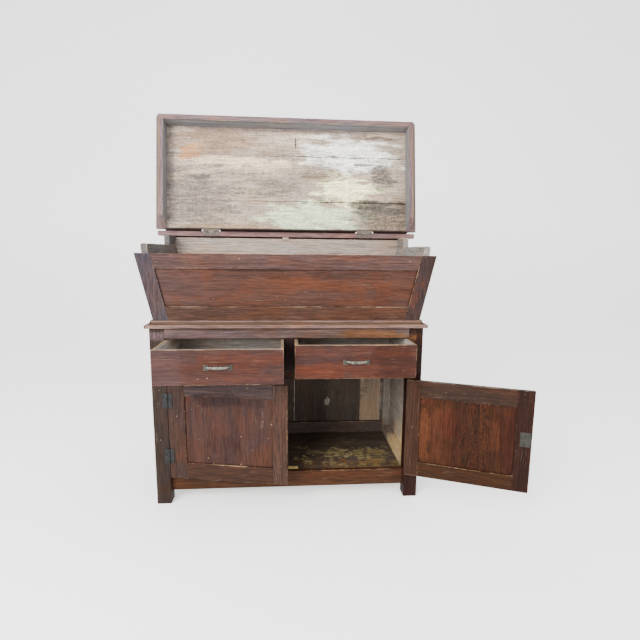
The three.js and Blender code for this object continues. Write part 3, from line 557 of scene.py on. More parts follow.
class Graph:
    """Places nodes in a tree and joins them as they are placed."""

    def __init__(self, tree: bpy.types.NodeTree) -> None:
        """Works on one tree."""
        self.tree = tree

    def node(self, kind: str, inputs: dict | None = None, **settings) -> bpy.types.Node:
        """One node.

        Args:
            kind: Its type, without the ShaderNode in front unless it is a group node.
            inputs: Values or sockets, by input name or number.
            **settings: The node's own properties.

        Returns:
            The node.
        """
        made = self.tree.nodes.new(kind if kind.startswith("Node") else "ShaderNode" + kind)
        for name, value in settings.items():
            setattr(made, name, value)
        for key, value in (inputs or {}).items():
            socket = made.inputs[key]
            if isinstance(value, Socket):
                self.tree.links.new(value, socket)
            else:
                socket.default_value = (*value, 1.0) if socket.type == "RGBA" and len(value) == 3 else value
        return made

    def math(self, operation: str, a: Value, b: Value = 0.0, **settings) -> Socket:
        """A Math node's result."""
        return self.node("Math", {0: a, 1: b}, operation=operation, **settings).outputs[0]

    def add(self, a: Value, b: Value) -> Socket:
        """A sum."""
        return self.math("ADD", a, b)

    def less(self, a: Value, b: Value) -> Socket:
        """A difference."""
        return self.math("SUBTRACT", a, b)

    def most(self, a: Value, b: Value) -> Socket:
        """The larger of two values."""
        return self.math("MAXIMUM", a, b)

    def vector(self, operation: str, a: Value, b: Value) -> Socket:
        """A Vector Math node's vector."""
        return self.node("VectorMath", {0: a, 1: b}, operation=operation).outputs[0]

    def times(self, vector: Value, factors: Value) -> Socket:
        """A vector or colour stretched by three factors."""
        return self.vector("MULTIPLY", vector, factors)

    def scaled(self, vector: Value, factor: Value) -> Socket:
        """A vector or colour times one number."""
        return self.node("VectorMath", {0: vector, "Scale": factor}, operation="SCALE").outputs[0]

    def product(self, *values: Value) -> Socket:
        """Numbers multiplied together."""
        total = values[0]
        for value in values[1:]:
            total = self.math("MULTIPLY", total, value)
        return total

    def noise(
        self, vector: Value, scale: Value, detail: float, rough: float = 0.55, distort: float = 0.0
    ) -> Socket:
        """A noise texture's value, from about 0.3 to 0.7."""
        names = ("Vector", "Scale", "Detail", "Roughness", "Distortion")
        return self.node("TexNoise", dict(zip(names, (vector, scale, detail, rough, distort)))).outputs[0]

    def span(self, value: Value, low: Value, high: Value, start: Value = 0.0, end: Value = 1.0) -> Socket:
        """A value carried smoothly from one range to another, and held at its ends."""
        inputs = {0: value, 1: low, 2: high, 3: start, 4: end}
        return self.node("MapRange", inputs, interpolation_type="SMOOTHSTEP").outputs[0]

    def blend(self, share: Value, a: Value, b: Value) -> Socket:
        """Two colours mixed."""
        return self.node("Mix", {0: share, 6: a, 7: b}, data_type="RGBA").outputs[2]

    def attribute(self, name: str, output: str = "Fac") -> Socket:
        """An attribute of the mesh."""
        return self.node("Attribute", attribute_name=name).outputs[output]

    def group(self, tree: bpy.types.NodeTree, **inputs) -> bpy.types.Node:
        """A shader group with its own values; an underscore in an input's name stands for a space."""
        named = {key.replace("_", " "): value for key, value in inputs.items()}
        return self.node("Group", named, node_tree=tree)


def shader_group(**defaults) -> Callable:
    """Turns a function that fills a shader group into one that gives the group, which is built once.

    The function gets the graph to build in and the sockets that give the inputs, and returns its outputs
    by name, all plain numbers.

    Args:
        **defaults: Default value of each input; a tuple makes a vector socket.

    Returns:
        The decorator.
    """

    def decorate(fill: Callable) -> Callable:
        """The function that gives the group."""

        @cache
        @wraps(fill)
        def group() -> bpy.types.NodeTree:
            """Builds the group."""
            tree = bpy.data.node_groups.new(fill.__name__, "ShaderNodeTree")
            for key, default in defaults.items():
                kind = "NodeSocketVector" if isinstance(default, tuple) else "NodeSocketFloat"
                tree.interface.new_socket(name=key, in_out="INPUT", socket_type=kind).default_value = default
            graph = Graph(tree)
            made = fill(graph, graph.node("NodeGroupInput").outputs)
            for key in made:
                tree.interface.new_socket(name=key, in_out="OUTPUT", socket_type="NodeSocketFloat")
            graph.node("NodeGroupOutput", made)
            return tree

        return group

    return decorate


@shader_group(Figure=NOWHERE, Stretch=1.0)
def wood_grain(graph: Graph, given: Sockets) -> dict[str, Socket]:
    """Wood grain: fine fibres, broad bands and short pores, all stretched along the first axis."""

    def layer(stretch: Triple, *shape: float) -> Socket:
        """A noise of the figure stretched by three factors, with its detail, roughness and distortion."""
        return graph.noise(graph.times(given["Figure"], stretch), given["Stretch"], *shape)

    fine, coarse = layer((22, 430, 430), 3, 0.6), layer((9, 210, 210), 4, 0.6)
    both = graph.add(graph.product(fine, 0.45), graph.product(coarse, 0.55))
    return {
        "Fibre": graph.span(both, 0.36, 0.64),
        "Streak": graph.span(layer((3.4, 190, 190), 2, 0.5, 0.1), 0.57, 0.72),
        "Band": graph.span(layer((1.2, 26, 26), 3, 0.55, 0.5), 0.34, 0.66),
        "Pore": graph.span(layer((34, 820, 820), 1, 0.5), 0.585, 0.68),
        "Cloud": graph.span(layer((6, 20, 20), 5, 0.7, 0.3), 0.34, 0.66),
        "Glow": graph.span(layer((4, 12, 12), 5, 0.7, 0.3), 0.44, 0.66),
    }


@shader_group(Place=NOWHERE, Middle=0.1, Spread=1300.0, Rise=24.0, Bend=9.0)
def arched_rings(graph: Graph, given: Sockets) -> dict[str, Socket]:
    """Arched growth rings of a flat-sawn board.

    The ring number is the squared distance from the board's middle line plus a share of the length, bent
    by slow noise. It runs up and down between 0 and 1.
    """
    parts = graph.node("SeparateXYZ", {0: given["Place"]}).outputs
    off = graph.less(parts[1], given["Middle"])
    arch = graph.add(graph.product(off, off, given["Spread"]), graph.product(parts[0], given["Rise"]))
    bend = graph.noise(graph.times(given["Place"], (9, 22, 22)), 1.0, 3, 0.5)
    number = graph.add(arch, graph.product(bend, given["Bend"]))
    ring = graph.span(graph.math("PINGPONG", number, 0.5), 0.06, 0.3)
    near = graph.span(graph.math("ABSOLUTE", off), 0.06, 0.13, 1.0, 0.35)
    return {"Ring": graph.less(1.0, graph.product(graph.less(1.0, ring), near))}


@shader_group(Place=NOWHERE, Edge=1.0, Bare=1.0, Reach=0.2, Knocks=0.2)
def edge_wear(graph: Graph, given: Sockets) -> dict[str, Socket]:
    """Bare wood along open arrises, its reach broken by noise, scattered knocks, and dark joints."""
    place, edge, bare = given["Place"], given["Edge"], given["Bare"]
    ragged, patchy = graph.noise(place, 80.0, 4, 0.7), graph.noise(place, 9.0, 4, 0.65)
    limit = graph.product(given["Reach"], graph.span(patchy, 0.4, 0.66, 0.05, 1.9), bare)
    depth = graph.add(edge, graph.span(ragged, 0.3, 0.7, -0.06, 0.14))
    share = graph.math("DIVIDE", depth, graph.add(limit, 0.001))
    near = graph.math("SUBTRACT", 1.0, share, use_clamp=True)
    worn = graph.product(graph.span(near, 0.0, 0.4), graph.span(bare, 0.05, 0.3))
    level = graph.less(0.86, graph.product(given["Knocks"], 0.13))
    knocks = graph.span(graph.noise(place, 130.0, 2, 0.5), level, graph.add(level, 0.03))
    closed = graph.product(graph.less(1.0, bare), graph.span(edge, 0.0, 0.14, 1.0, 0.0))
    return {"Worn": graph.most(worn, knocks), "Joint": graph.less(1.0, graph.product(closed, 0.5))}


@shader_group(Place=NOWHERE, Centre=NOWHERE, Size=PLAIN, Loose=0.0, Ragged=0.6)
def soft_patch(graph: Graph, given: Sockets) -> dict[str, Socket]:
    """An oval patch with a soft border: distance over size, disturbed by a value from outside."""
    share = graph.vector("DIVIDE", graph.vector("SUBTRACT", given["Place"], given["Centre"]), given["Size"])
    far = graph.node("VectorMath", {0: share}, operation="LENGTH").outputs[1]
    bent = graph.add(far, graph.product(given["Loose"], given["Ragged"]))
    return {"Mask": graph.span(bent, 0.6, 1.15, 1.0, 0.0)}


@shader_group(Place=NOWHERE, Scale=55.0, Size=0.1)
def flecks(graph: Graph, given: Sockets) -> dict[str, Socket]:
    """Small scattered flecks of paint or flour, and fine straight scratches along the grain."""
    place = given["Place"]
    cell = graph.node("TexVoronoi", {"Vector": place, "Scale": given["Scale"]}).outputs
    pick = graph.node("SeparateColor", {0: cell["Color"]}).outputs
    size = graph.product(given["Size"], graph.span(pick[0], 0.6, 1.0))
    spot = graph.span(graph.less(cell["Distance"], size), -0.03, 0.0, 1.0, 0.0)
    turned = graph.node("VectorRotate", {"Vector": place, "Angle": 0.06}, rotation_type="Z_AXIS")
    lines = graph.noise(graph.times(turned.outputs[0], (9, 420, 420)), 1.0, 2, 0.5)
    gate = graph.span(graph.noise(place, 11.0, 3, 0.6), 0.5, 0.62)
    return {"Fleck": spot, "Scratch": graph.product(graph.span(lines, 0.63, 0.7), gate)}


# ---- finishes


class Light(Enum):
    """A place's light: what a white surface there sends out, and the haze that reflections lay over it."""

    FRONT = (4.1, 0.03)
    LID = (3.0, 0.0)
    TROUGH = (2.2, 0.0)
    INSIDE = (0.68, 0.0)
    FLOOR = (1.1, 0.0)
    DRAWER = (0.33, 0.0)


def shown(red: int, green: int, blue: int, light: Light = Light.FRONT) -> Colour:
    """The linear colour of a surface that shows as a given screen colour in this studio.

    The renderer's tone curve is close to a logistic in the logarithm of the light, with its middle at
    HALF and its slope STEEP.

    Args:
        red: Screen red, from 0 to 255.
        green: Screen green.
        blue: Screen blue.
        light: The light where the surface is.

    Returns:
        Linear red, green and blue.
    """
    white, haze = light.value
    share = np.clip(np.array([red, green, blue]) / 255, 0.001, 0.97)
    colour = (HALF * (share / (1 - share)) ** (1 / STEEP) - haze) / white
    return tuple(float(v) for v in np.clip(colour, 0.002, 0.92))


def ratio(colour: Sequence[int], base: Sequence[int], light: Light) -> Colour:
    """Factors that turn a finish's base colour into another one, both as they show on screen."""
    return tuple(a / b for a, b in zip(shown(*colour, light), shown(*base, light)))


def stain(red: int, green: int, blue: int) -> Colour:
    """Factors for stained wood that shows as a given colour."""
    return ratio((red, green, blue), STAIN, Light.FRONT)


def indoor(red: int, green: int, blue: int) -> Colour:
    """Factors for bare wood inside the cabinet that shows as a given colour."""
    return ratio((red, green, blue), INDOOR, Light.INSIDE)


def scoured(red: int, green: int, blue: int) -> Colour:
    """Factors for the trough's scoured wood that shows as a given colour."""
    return ratio((red, green, blue), SCOURED, Light.TROUGH)


class Space(Enum):
    """Where a finish's patches lie: in the cabinet at rest, or in each board's own length and width."""

    CABINET = "Object"
    BOARD = "place"


@dataclass(frozen=True)
class Patch:
    """An oval patch of another colour with a ragged border."""

    centre: Triple
    size: Triple
    colour: Colour
    strength: float = 0.7
    ragged: float = 0.5


@dataclass(frozen=True)
class Finish:
    """A finish makes one material."""

    def material(self, name: str) -> bpy.types.Material:
        """The finish as a material of that name."""
        made = bpy.data.materials.new(name)
        made.use_nodes = True
        made.node_tree.nodes.clear()
        graph = Graph(made.node_tree)
        graph.node("OutputMaterial", {"Surface": self.shade(graph).outputs[0]})
        return made

    def shade(self, graph: Graph) -> bpy.types.Node:
        """The shader node of the finish."""
        raise NotImplementedError


@dataclass(frozen=True)
class WoodFinish(Finish):
    """Wood under stain, paint or nothing: clouds, patches, grain, worn arrises, knocks and flecks."""

    colour: Colour = PLAIN
    warm: Colour = (1.35, 0.95, 0.65)
    cool: Colour = (0.78, 0.92, 1.15)
    drift: float = 0.55
    fibres: float = 0.34
    bands: float = 0.1
    streaks: float = 0.3
    pores: float = 0.3
    bare: Colour = PLAIN
    reach: float = 0.35
    knocks: float = 0.2
    flecks: float = 0.08
    fleck_colour: Colour = PLAIN
    scratches: float = 0.25
    stretch: float = 1.0
    rough: float = 0.5
    gloss: float = 0.08
    relief: float = 0.00025
    space: Space = Space.BOARD
    patches: tuple[Patch, ...] = ()
    crumble: float = 0.3
    drift_of_border: Triple = (13, 13, 13)
    crumb_stretch: Triple = (85, 85, 85)

    def shade(self, graph: Graph) -> bpy.types.Node:
        """Clouds, tint, patches, grain, wear and flecks, in that order, into one Principled shader."""
        place, figure = graph.attribute("place", "Vector"), graph.attribute("figure", "Vector")
        grain = graph.group(wood_grain(), Figure=figure, Stretch=self.stretch).outputs
        colour = graph.times(self.clouded(graph, grain), graph.attribute("tint", "Vector"))
        colour = self.patched(graph, colour)
        colour = graph.scaled(colour, self.level(graph, grain, place))
        edge, bare = graph.attribute("edge"), graph.attribute("bare")
        facts = {"Place": figure, "Edge": edge, "Bare": bare, "Reach": self.reach, "Knocks": self.knocks}
        wear = graph.group(edge_wear(), **facts).outputs
        colour = graph.scaled(colour, wear["Joint"])
        wood = graph.scaled(self.bare, graph.span(grain["Fibre"], 0.0, 1.0, 0.65, 1.15))
        colour = graph.blend(wear["Worn"], colour, wood)
        specks = graph.group(flecks(), Place=figure, Size=self.flecks).outputs
        scratch = graph.product(specks["Scratch"], self.scratches)
        colour = graph.blend(graph.most(specks["Fleck"], scratch), colour, self.fleck_colour)
        colour = self.topped(graph, colour, place)
        rough = graph.span(grain["Cloud"], 0.0, 1.0, self.rough - 0.07, self.rough + 0.1)
        rough = graph.add(rough, graph.product(wear["Worn"], 0.25))
        height = graph.less(grain["Fibre"], graph.product(grain["Pore"], 0.9))
        height = graph.less(height, graph.add(graph.product(wear["Worn"], 1.2), scratch))
        bump = graph.node("Bump", {"Height": height, "Distance": self.relief, "Strength": 0.6}).outputs[0]
        inputs = {"Base Color": colour, "Roughness": rough, "Normal": bump, "Specular IOR Level": self.gloss}
        return graph.node("BsdfPrincipled", inputs)

    def clouded(self, graph: Graph, grain: Sockets) -> Socket:
        """The plain colour drifting to a cooler and a warmer one."""
        shifts = [tuple(a * b for a, b in zip(self.colour, shift)) for shift in (self.cool, self.warm)]
        colour = graph.blend(graph.product(grain["Cloud"], self.drift), self.colour, shifts[0])
        return graph.blend(graph.product(grain["Glow"], self.drift), colour, shifts[1])

    def patched(self, graph: Graph, colour: Socket) -> Socket:
        """The colour with the finish's patches in it; one noise bends all borders, another crumbles them."""
        if not self.patches:
            return colour
        if self.space is Space.CABINET:
            where = graph.node("TexCoord").outputs[self.space.value]
        else:
            where = graph.attribute(self.space.value, "Vector")
        loose = graph.noise(graph.times(where, self.drift_of_border), 1.0, 6, 0.66)
        loose = graph.span(loose, 0.28, 0.72, -1.0, 1.0)
        crumbs = graph.noise(graph.times(where, self.crumb_stretch), 1.0, 5, 0.72)
        whole = graph.span(crumbs, 0.44, 0.56, 1.0 - self.crumble, 1.0)
        for patch in self.patches:
            facts = {"Place": where, "Centre": patch.centre, "Size": patch.size, "Loose": loose}
            mask = graph.group(soft_patch(), Ragged=patch.ragged, **facts).outputs["Mask"]
            mask = graph.product(graph.product(mask, whole), patch.strength)
            colour = graph.blend(mask, colour, patch.colour)
        return colour

    def level(self, graph: Graph, grain: Sockets, place: Socket) -> Socket:
        """How much lighter or darker the grain makes the colour: fibres, bands, streaks and pores."""
        spans = {"Fibre": self.fibres, "Band": self.bands}
        parts = [graph.span(grain[key], 0.0, 1.0, 1.0 - depth, 1.0 + depth) for key, depth in spans.items()]
        spans = {"Streak": self.streaks, "Pore": self.pores}
        parts += [graph.span(grain[key], 0.0, 1.0, 1.0, 1.0 - depth) for key, depth in spans.items()]
        return graph.product(*parts)

    def topped(self, graph: Graph, colour: Socket, place: Socket) -> Socket:
        """What lies over everything else; nothing on plain wood."""
        return colour


@dataclass(frozen=True)
class FiguredWood(WoodFinish):
    """Flat-sawn wood: thin dark growth rings that arch about one line and fade away from it."""

    middle: float = 0.15
    rings: float = 0.42

    def level(self, graph: Graph, grain: Sockets, place: Socket) -> Socket:
        """The plain grain, with the rings on it."""
        plain = super().level(graph, grain, place)
        arches = graph.group(arched_rings(), Place=place, Middle=self.middle).outputs["Ring"]
        return graph.product(plain, graph.span(arches, 0.0, 1.0, 1.0 - self.rings, 1.08))


@dataclass(frozen=True)
class LidPaint(WoodFinish):
    """Thin wiped paint inside the lid, stained wood outside the rims, dark broken cracks and seams, and a
    painted shadow line along the hinge edge.
    """

    border: Colour = PLAIN
    dark: Colour = PLAIN
    # colour of the painted shadow line along the lid's hinge edge
    dark_edge: Colour = PLAIN
    half_inside: float = 0.594
    far_inside: float = 0.51
    seams: tuple[float, ...] = ()
    seam_width: float = 3.2 * MM
    wipes: tuple[tuple, ...] = (
        ((8, 46, 1), 0.82, 1.18),
        ((60, 150, 1), 0.76, 1.24),
        ((200, 260, 1), 0.68, 1.26),
        ((120, 9, 1), 0.9, 1.08),
    )

    def level(self, graph: Graph, grain: Sockets, place: Socket) -> Socket:
        """The plain grain, with long wipes, short wipes, speckle and upright brush marks."""
        wipes = [
            graph.span(graph.noise(graph.times(place, stretch), 1.0, 4, 0.65), 0.32, 0.68, low, high)
            for stretch, low, high in self.wipes
        ]
        return graph.product(super().level(graph, grain, place), *wipes)

    def topped(self, graph: Graph, colour: Socket, place: Socket) -> Socket:
        """Cracks and seams, stronger to the right, a painted shadow line along the hinge edge, then the
        border outside the rims.
        """
        parts = graph.node("SeparateXYZ", {0: place}).outputs
        right = graph.span(parts[0], -0.3, 0.15, 0.12, 1.0)
        dashes = graph.noise(graph.times(place, (11, 190, 1)), 1.0, 3, 0.6)
        broken = graph.noise(graph.times(place, (22, 1, 1)), 1.0, 3, 0.7)
        wander = graph.noise(graph.times(place, (10, 1, 1)), 1.0, 3, 0.6)
        shifted = graph.add(parts[1], graph.span(wander, 0.3, 0.7, -0.003, 0.003))
        chips = graph.span(dashes, 0.655, 0.7)
        mask = graph.product(chips, graph.span(graph.noise(place, 9.0, 3), 0.48, 0.62))
        for height in self.seams:
            off = graph.math("ABSOLUTE", graph.less(shifted, height))
            line = graph.span(off, self.seam_width * 0.4, self.seam_width, 1.0, 0.0)
            line = graph.product(line, graph.span(broken, 0.36, 0.56, 0.15, 1.0))
            flakes = graph.product(graph.span(dashes, 0.57, 0.63), graph.span(off, 0.005, 0.035, 1.0, 0.0))
            mask = graph.most(mask, graph.most(line, flakes))
        colour = graph.blend(graph.product(mask, right), colour, self.dark)
        # painted shadow: a dark band along the hinge edge, standing for the shade under the lid's lower edge
        lowest = graph.product(graph.span(parts[1], 0.0035, 0.0055, 1.0, 0.0), 0.85)
        colour = graph.blend(lowest, colour, self.dark_edge)
        beside = graph.span(graph.math("ABSOLUTE", parts[0]), self.half_inside, self.half_inside + 0.003)
        beyond = graph.span(parts[1], self.far_inside, self.far_inside + 0.003)
        fibre = graph.noise(graph.times(place, (6, 160, 160)), 1.0, 3)
        stained = graph.scaled(self.border, graph.span(fibre, 0.35, 0.65, 0.75, 1.2))
        return graph.blend(graph.most(beside, beyond), colour, stained)


@dataclass(frozen=True)
class MetalFinish(Finish):
    """Old iron or castings: a dull skin with grime, rubbed bright by fine noise, and fine pitting.

    With a lifted_from height, everything above it in the cabinet at rest has lost its paint.
    """

    skin: Colour = PLAIN
    grime: Colour = PLAIN
    bright: Colour = PLAIN
    metal: float = 0.5
    rough: float = 0.5
    relief: float = 0.0003
    lifted_from: float | None = None

    def shade(self, graph: Graph) -> bpy.types.Node:
        """Grime by slow noise, brightness by fine noise, and pits by voronoi cells."""
        place = graph.node("TexCoord").outputs["Object"]
        slow = graph.span(graph.noise(place, 60.0, 4, 0.6), 0.35, 0.65)
        fine = graph.span(graph.noise(place, 240.0, 3, 0.6), 0.45, 0.7)
        colour = graph.blend(slow, self.grime, self.skin)
        colour = graph.blend(graph.product(fine, 0.45), colour, self.bright)
        if self.lifted_from:
            height = graph.node("SeparateXYZ", {0: place}).outputs[2]
            lifted = graph.span(height, self.lifted_from, self.lifted_from + 0.0008)
            colour = graph.blend(lifted, colour, self.bright)
        rough = graph.span(slow, 0.0, 1.0, self.rough + 0.18, self.rough - 0.05)
        pits = graph.node("TexVoronoi", {"Vector": place, "Scale": 520.0}).outputs["Distance"]
        height = graph.add(graph.span(pits, 0.0, 0.5), graph.product(slow, 0.6))
        bump = graph.node("Bump", {"Height": height, "Distance": self.relief, "Strength": 0.5}).outputs[0]
        inputs = {"Base Color": colour, "Roughness": rough, "Metallic": self.metal, "Normal": bump}
        return graph.node("BsdfPrincipled", inputs)


@dataclass(frozen=True)
class PlainStage(Finish):
    """The pale matt floor, which glows a little, as a lit studio sweep does."""

    colour: Colour = (0.88, 0.88, 0.87)
    glow: float = 0.9

    def shade(self, graph: Graph) -> bpy.types.Node:
        """A pale colour with the faintest cloud in it."""
        cloud = graph.noise(graph.node("TexCoord").outputs["Object"], 0.7, 2)
        colour = graph.scaled(self.colour, graph.span(cloud, 0.3, 0.7, 0.98, 1.0))
        inputs = {"Base Color": colour, "Roughness": 0.85, "Emission Color": colour}
        inputs["Emission Strength"] = self.glow
        return graph.node("BsdfPrincipled", inputs)


FLAT = 1.0  # a board's patch reaches through its thickness


def patches(light: Light, *rows: tuple) -> tuple[Patch, ...]:
    """Patches that lie in one light.

    Args:
        light: That light.
        *rows: For each patch its centre, its size, how it shows on screen, its strength and how ragged
            it is. On a board, centre and size have two numbers.

    Returns:
        The patches.
    """
    return tuple(
        Patch((*centre, 0.0)[:3], (*size, FLAT)[:3], shown(*colour, light), *rest)
        for centre, size, colour, *rest in rows
    )


STAIN_AND_PAINTED_LIGHT_PATCHES = patches(
    Light.FRONT,
    # painted reflection: this mauve-grey patch on the left of the trough front stands for window light
    # mirrored in the old polish
    ((-0.62, -0.18, 0.95), (0.15, 0.1, 0.10), (126, 100, 98), 0.55),
    ((-0.05, -0.18, 0.93), (0.34, 0.1, 0.035), (141, 94, 70), 0.55, 0.8),
    ((0.30, -0.18, 0.90), (0.10, 0.1, 0.05), (138, 88, 66), 0.5, 0.8),
    # painted shadow: a dark band along the top of the trough's front panel, under its top rail
    ((-0.25, -0.18, 0.98), (0.30, 0.1, 0.02), (98, 70, 62), 0.5, 0.8),
    # painted reflection: mauve-grey on the left of the base's top rail, standing for window light mirrored in
    # the polish
    ((-0.45, -0.19, 0.725), (0.26, 0.06, 0.026), (156, 136, 137), 0.8),
    ((0.17, -0.19, 0.722), (0.17, 0.06, 0.026), (170, 128, 84), 0.8),
    # painted reflection: mauve-grey on the left end of the left drawer, standing for window light mirrored in
    # the polish
    ((-0.62, -0.39, 0.65), (0.10, 0.06, 0.10), (126, 100, 98), 0.65),
    ((-0.35, -0.39, 0.66), (0.17, 0.06, 0.035), (138, 84, 64), 0.5, 0.8),
    ((-0.28, -0.39, 0.60), (0.12, 0.06, 0.03), (138, 90, 76), 0.4, 0.8),
    ((0.27, -0.32, 0.65), (0.12, 0.06, 0.10), (100, 62, 50), 0.65),
    ((-0.02, -0.32, 0.61), (0.14, 0.06, 0.03), (142, 82, 58), 0.6, 0.8),
    ((-0.57, -0.22, 0.23), (0.05, 0.12, 0.06), (122, 80, 62), 0.5, 0.9),
    # painted shadow: a dark band across the top of the left door, under the rail and drawer above it
    ((-0.42, -0.25, 0.465), (0.17, 0.12, 0.03), (76, 60, 60), 0.7),
    ((-0.30, -0.25, 0.24), (0.06, 0.12, 0.07), (124, 84, 62), 0.5, 0.9),
    ((-0.44, -0.25, 0.28), (0.06, 0.12, 0.07), (92, 66, 62), 0.6, 0.8),
    ((-0.58, -0.17, 0.08), (0.12, 0.05, 0.05), (96, 66, 46), 0.6),
    ((0.0, -0.17, 0.09), (0.4, 0.05, 0.04), (120, 80, 58), 0.6),
)
INDOOR_STAIN_AND_LIGHT_PATCHES = patches(
    Light.INSIDE,
    # painted light: a cream patch of sunlight low on the right side panel, near the front
    ((0.375, 0.01, 0.165), (0.1, 0.175, 0.115), (149, 130, 92), 0.9, 0.12),
    ((0.375, 0.10, 0.32), (0.1, 0.3, 0.16), (112, 104, 96), 0.8, 0.3),
    ((0.050, 0.31, 0.280), (0.012, 0.02, 0.016), (132, 128, 116), 0.9, 1.2),
    ((0.275, 0.31, 0.27), (0.014, 0.02, 0.05), (112, 88, 62), 0.5, 0.9),
    ((0.15, 0.31, 0.35), (0.09, 0.02, 0.12), (66, 54, 46), 0.6, 0.8),
)
PANEL_PATCHES = patches(
    Light.FRONT,
    ((0.14, 0.365), (0.22, 0.030), (146, 94, 64), 0.75, 0.8),
    ((0.15, 0.30), (0.16, 0.06), (122, 76, 56), 0.6, 0.8),
    ((0.16, 0.085), (0.07, 0.03), (134, 84, 60), 0.5, 0.8),
    ((0.15, 0.24), (0.08, 0.05), (106, 56, 44), 0.5, 0.8),
    ((0.15, 0.02), (0.18, 0.03), (84, 52, 40), 0.6, 0.8),
)
LID_PAINT_AND_SHADE_PATCHES = patches(
    Light.LID,
    ((-0.36, 0.44), (0.24, 0.08), (184, 162, 140), 0.8, 0.6),
    ((-0.25, 0.33), (0.28, 0.035), (222, 215, 202), 0.8, 0.7),
    ((-0.45, 0.14), (0.20, 0.18), (162, 151, 144), 0.9, 0.7),
    ((-0.25, 0.010), (0.34, 0.018), (188, 170, 144), 0.8, 0.6),
    ((-0.465, 0.395), (0.085, 0.045), (196, 174, 142), 0.7, 0.8),
    ((-0.49, 0.385), (0.045, 0.034), (206, 178, 138), 0.8, 0.8),
    ((-0.41, 0.25), (0.060, 0.022), (134, 126, 128), 0.85, 0.8),
    ((-0.06, 0.22), (0.14, 0.055), (158, 152, 138), 0.8, 0.9),
    ((0.05, 0.45), (0.20, 0.04), (214, 208, 200), 0.7, 0.7),
    ((0.30, 0.38), (0.23, 0.10), (234, 236, 226), 0.95, 0.55),
    ((0.14, 0.065), (0.27, 0.080), (216, 220, 208), 0.95, 0.6),
    ((0.30, 0.20), (0.17, 0.08), (230, 230, 212), 1.0, 0.7),
    ((0.14, 0.285), (0.12, 0.04), (170, 154, 132), 0.9, 0.6),
    ((0.475, 0.275), (0.075, 0.060), (124, 118, 112), 0.95, 0.5),
    ((0.50, 0.070), (0.175, 0.120), (148, 132, 114), 1.0, 0.4),
    ((0.46, 0.120), (0.12, 0.045), (122, 116, 108), 0.9, 0.7),
    ((0.43, 0.475), (0.14, 0.016), (142, 112, 102), 0.85, 0.9),
    ((0.36, 0.335), (0.05, 0.006), (110, 88, 70), 0.9, 1.2),
    ((0.38, 0.245), (0.04, 0.005), (118, 92, 70), 0.9, 1.2),
    ((-0.10, 0.500), (0.60, 0.010), (170, 154, 151), 0.9, 0.5),
    # painted shade: a greyer strip down the left of the lid, beside the rim
    ((-0.580, 0.27), (0.025, 0.30), (168, 158, 156), 0.8, 0.4),
    ((0.035, 0.435), (0.0045, 0.034), (50, 44, 42), 1.0, 0.15),
)
FLOOR_PATCHES = patches(
    Light.FLOOR,
    ((0.80, 0.055), (0.30, 0.07), (100, 70, 38), 0.9, 0.7),
    ((0.80, 0.16), (0.20, 0.08), (140, 128, 88), 1.0, 1.2),
    ((0.69, 0.12), (0.07, 0.05), (134, 120, 84), 1.0, 1.2),
    ((0.92, 0.10), (0.12, 0.09), (118, 104, 62), 0.9, 1.0),
    ((0.74, 0.10), (0.045, 0.025), (106, 64, 34), 0.85, 1.0),
    ((0.86, 0.085), (0.06, 0.02), (112, 76, 40), 0.8, 1.0),
    ((0.63, 0.22), (0.035, 0.03), (96, 82, 62), 0.8, 1.2),
    ((0.80, 0.34), (0.07, 0.03), (92, 80, 64), 0.8, 1.2),
)
# Skin, grime and rubbed metal of each metal as they show, and what else sets it apart.
METALS = {
    Skin.IRON: ((62, 64, 66), (52, 48, 48), (84, 88, 90), {}),
    Skin.PAINTED_IRON: (
        (150, 124, 120), (128, 104, 100), (214, 210, 202), {"metal": 0.1, "lifted_from": 1.1626}
    ),
    Skin.CAST: ((156, 156, 146), (104, 100, 90), (206, 208, 200), {}),
    Skin.CAST_FOOT: ((118, 110, 96), (84, 78, 68), (168, 162, 148), {"metal": 0.3}),
    Skin.LOCK_PLATE: ((92, 90, 80), (74, 72, 62), (112, 112, 102), {}),
    Skin.SCREW: ((64, 58, 54), (40, 36, 34), (90, 84, 78), {}),
}


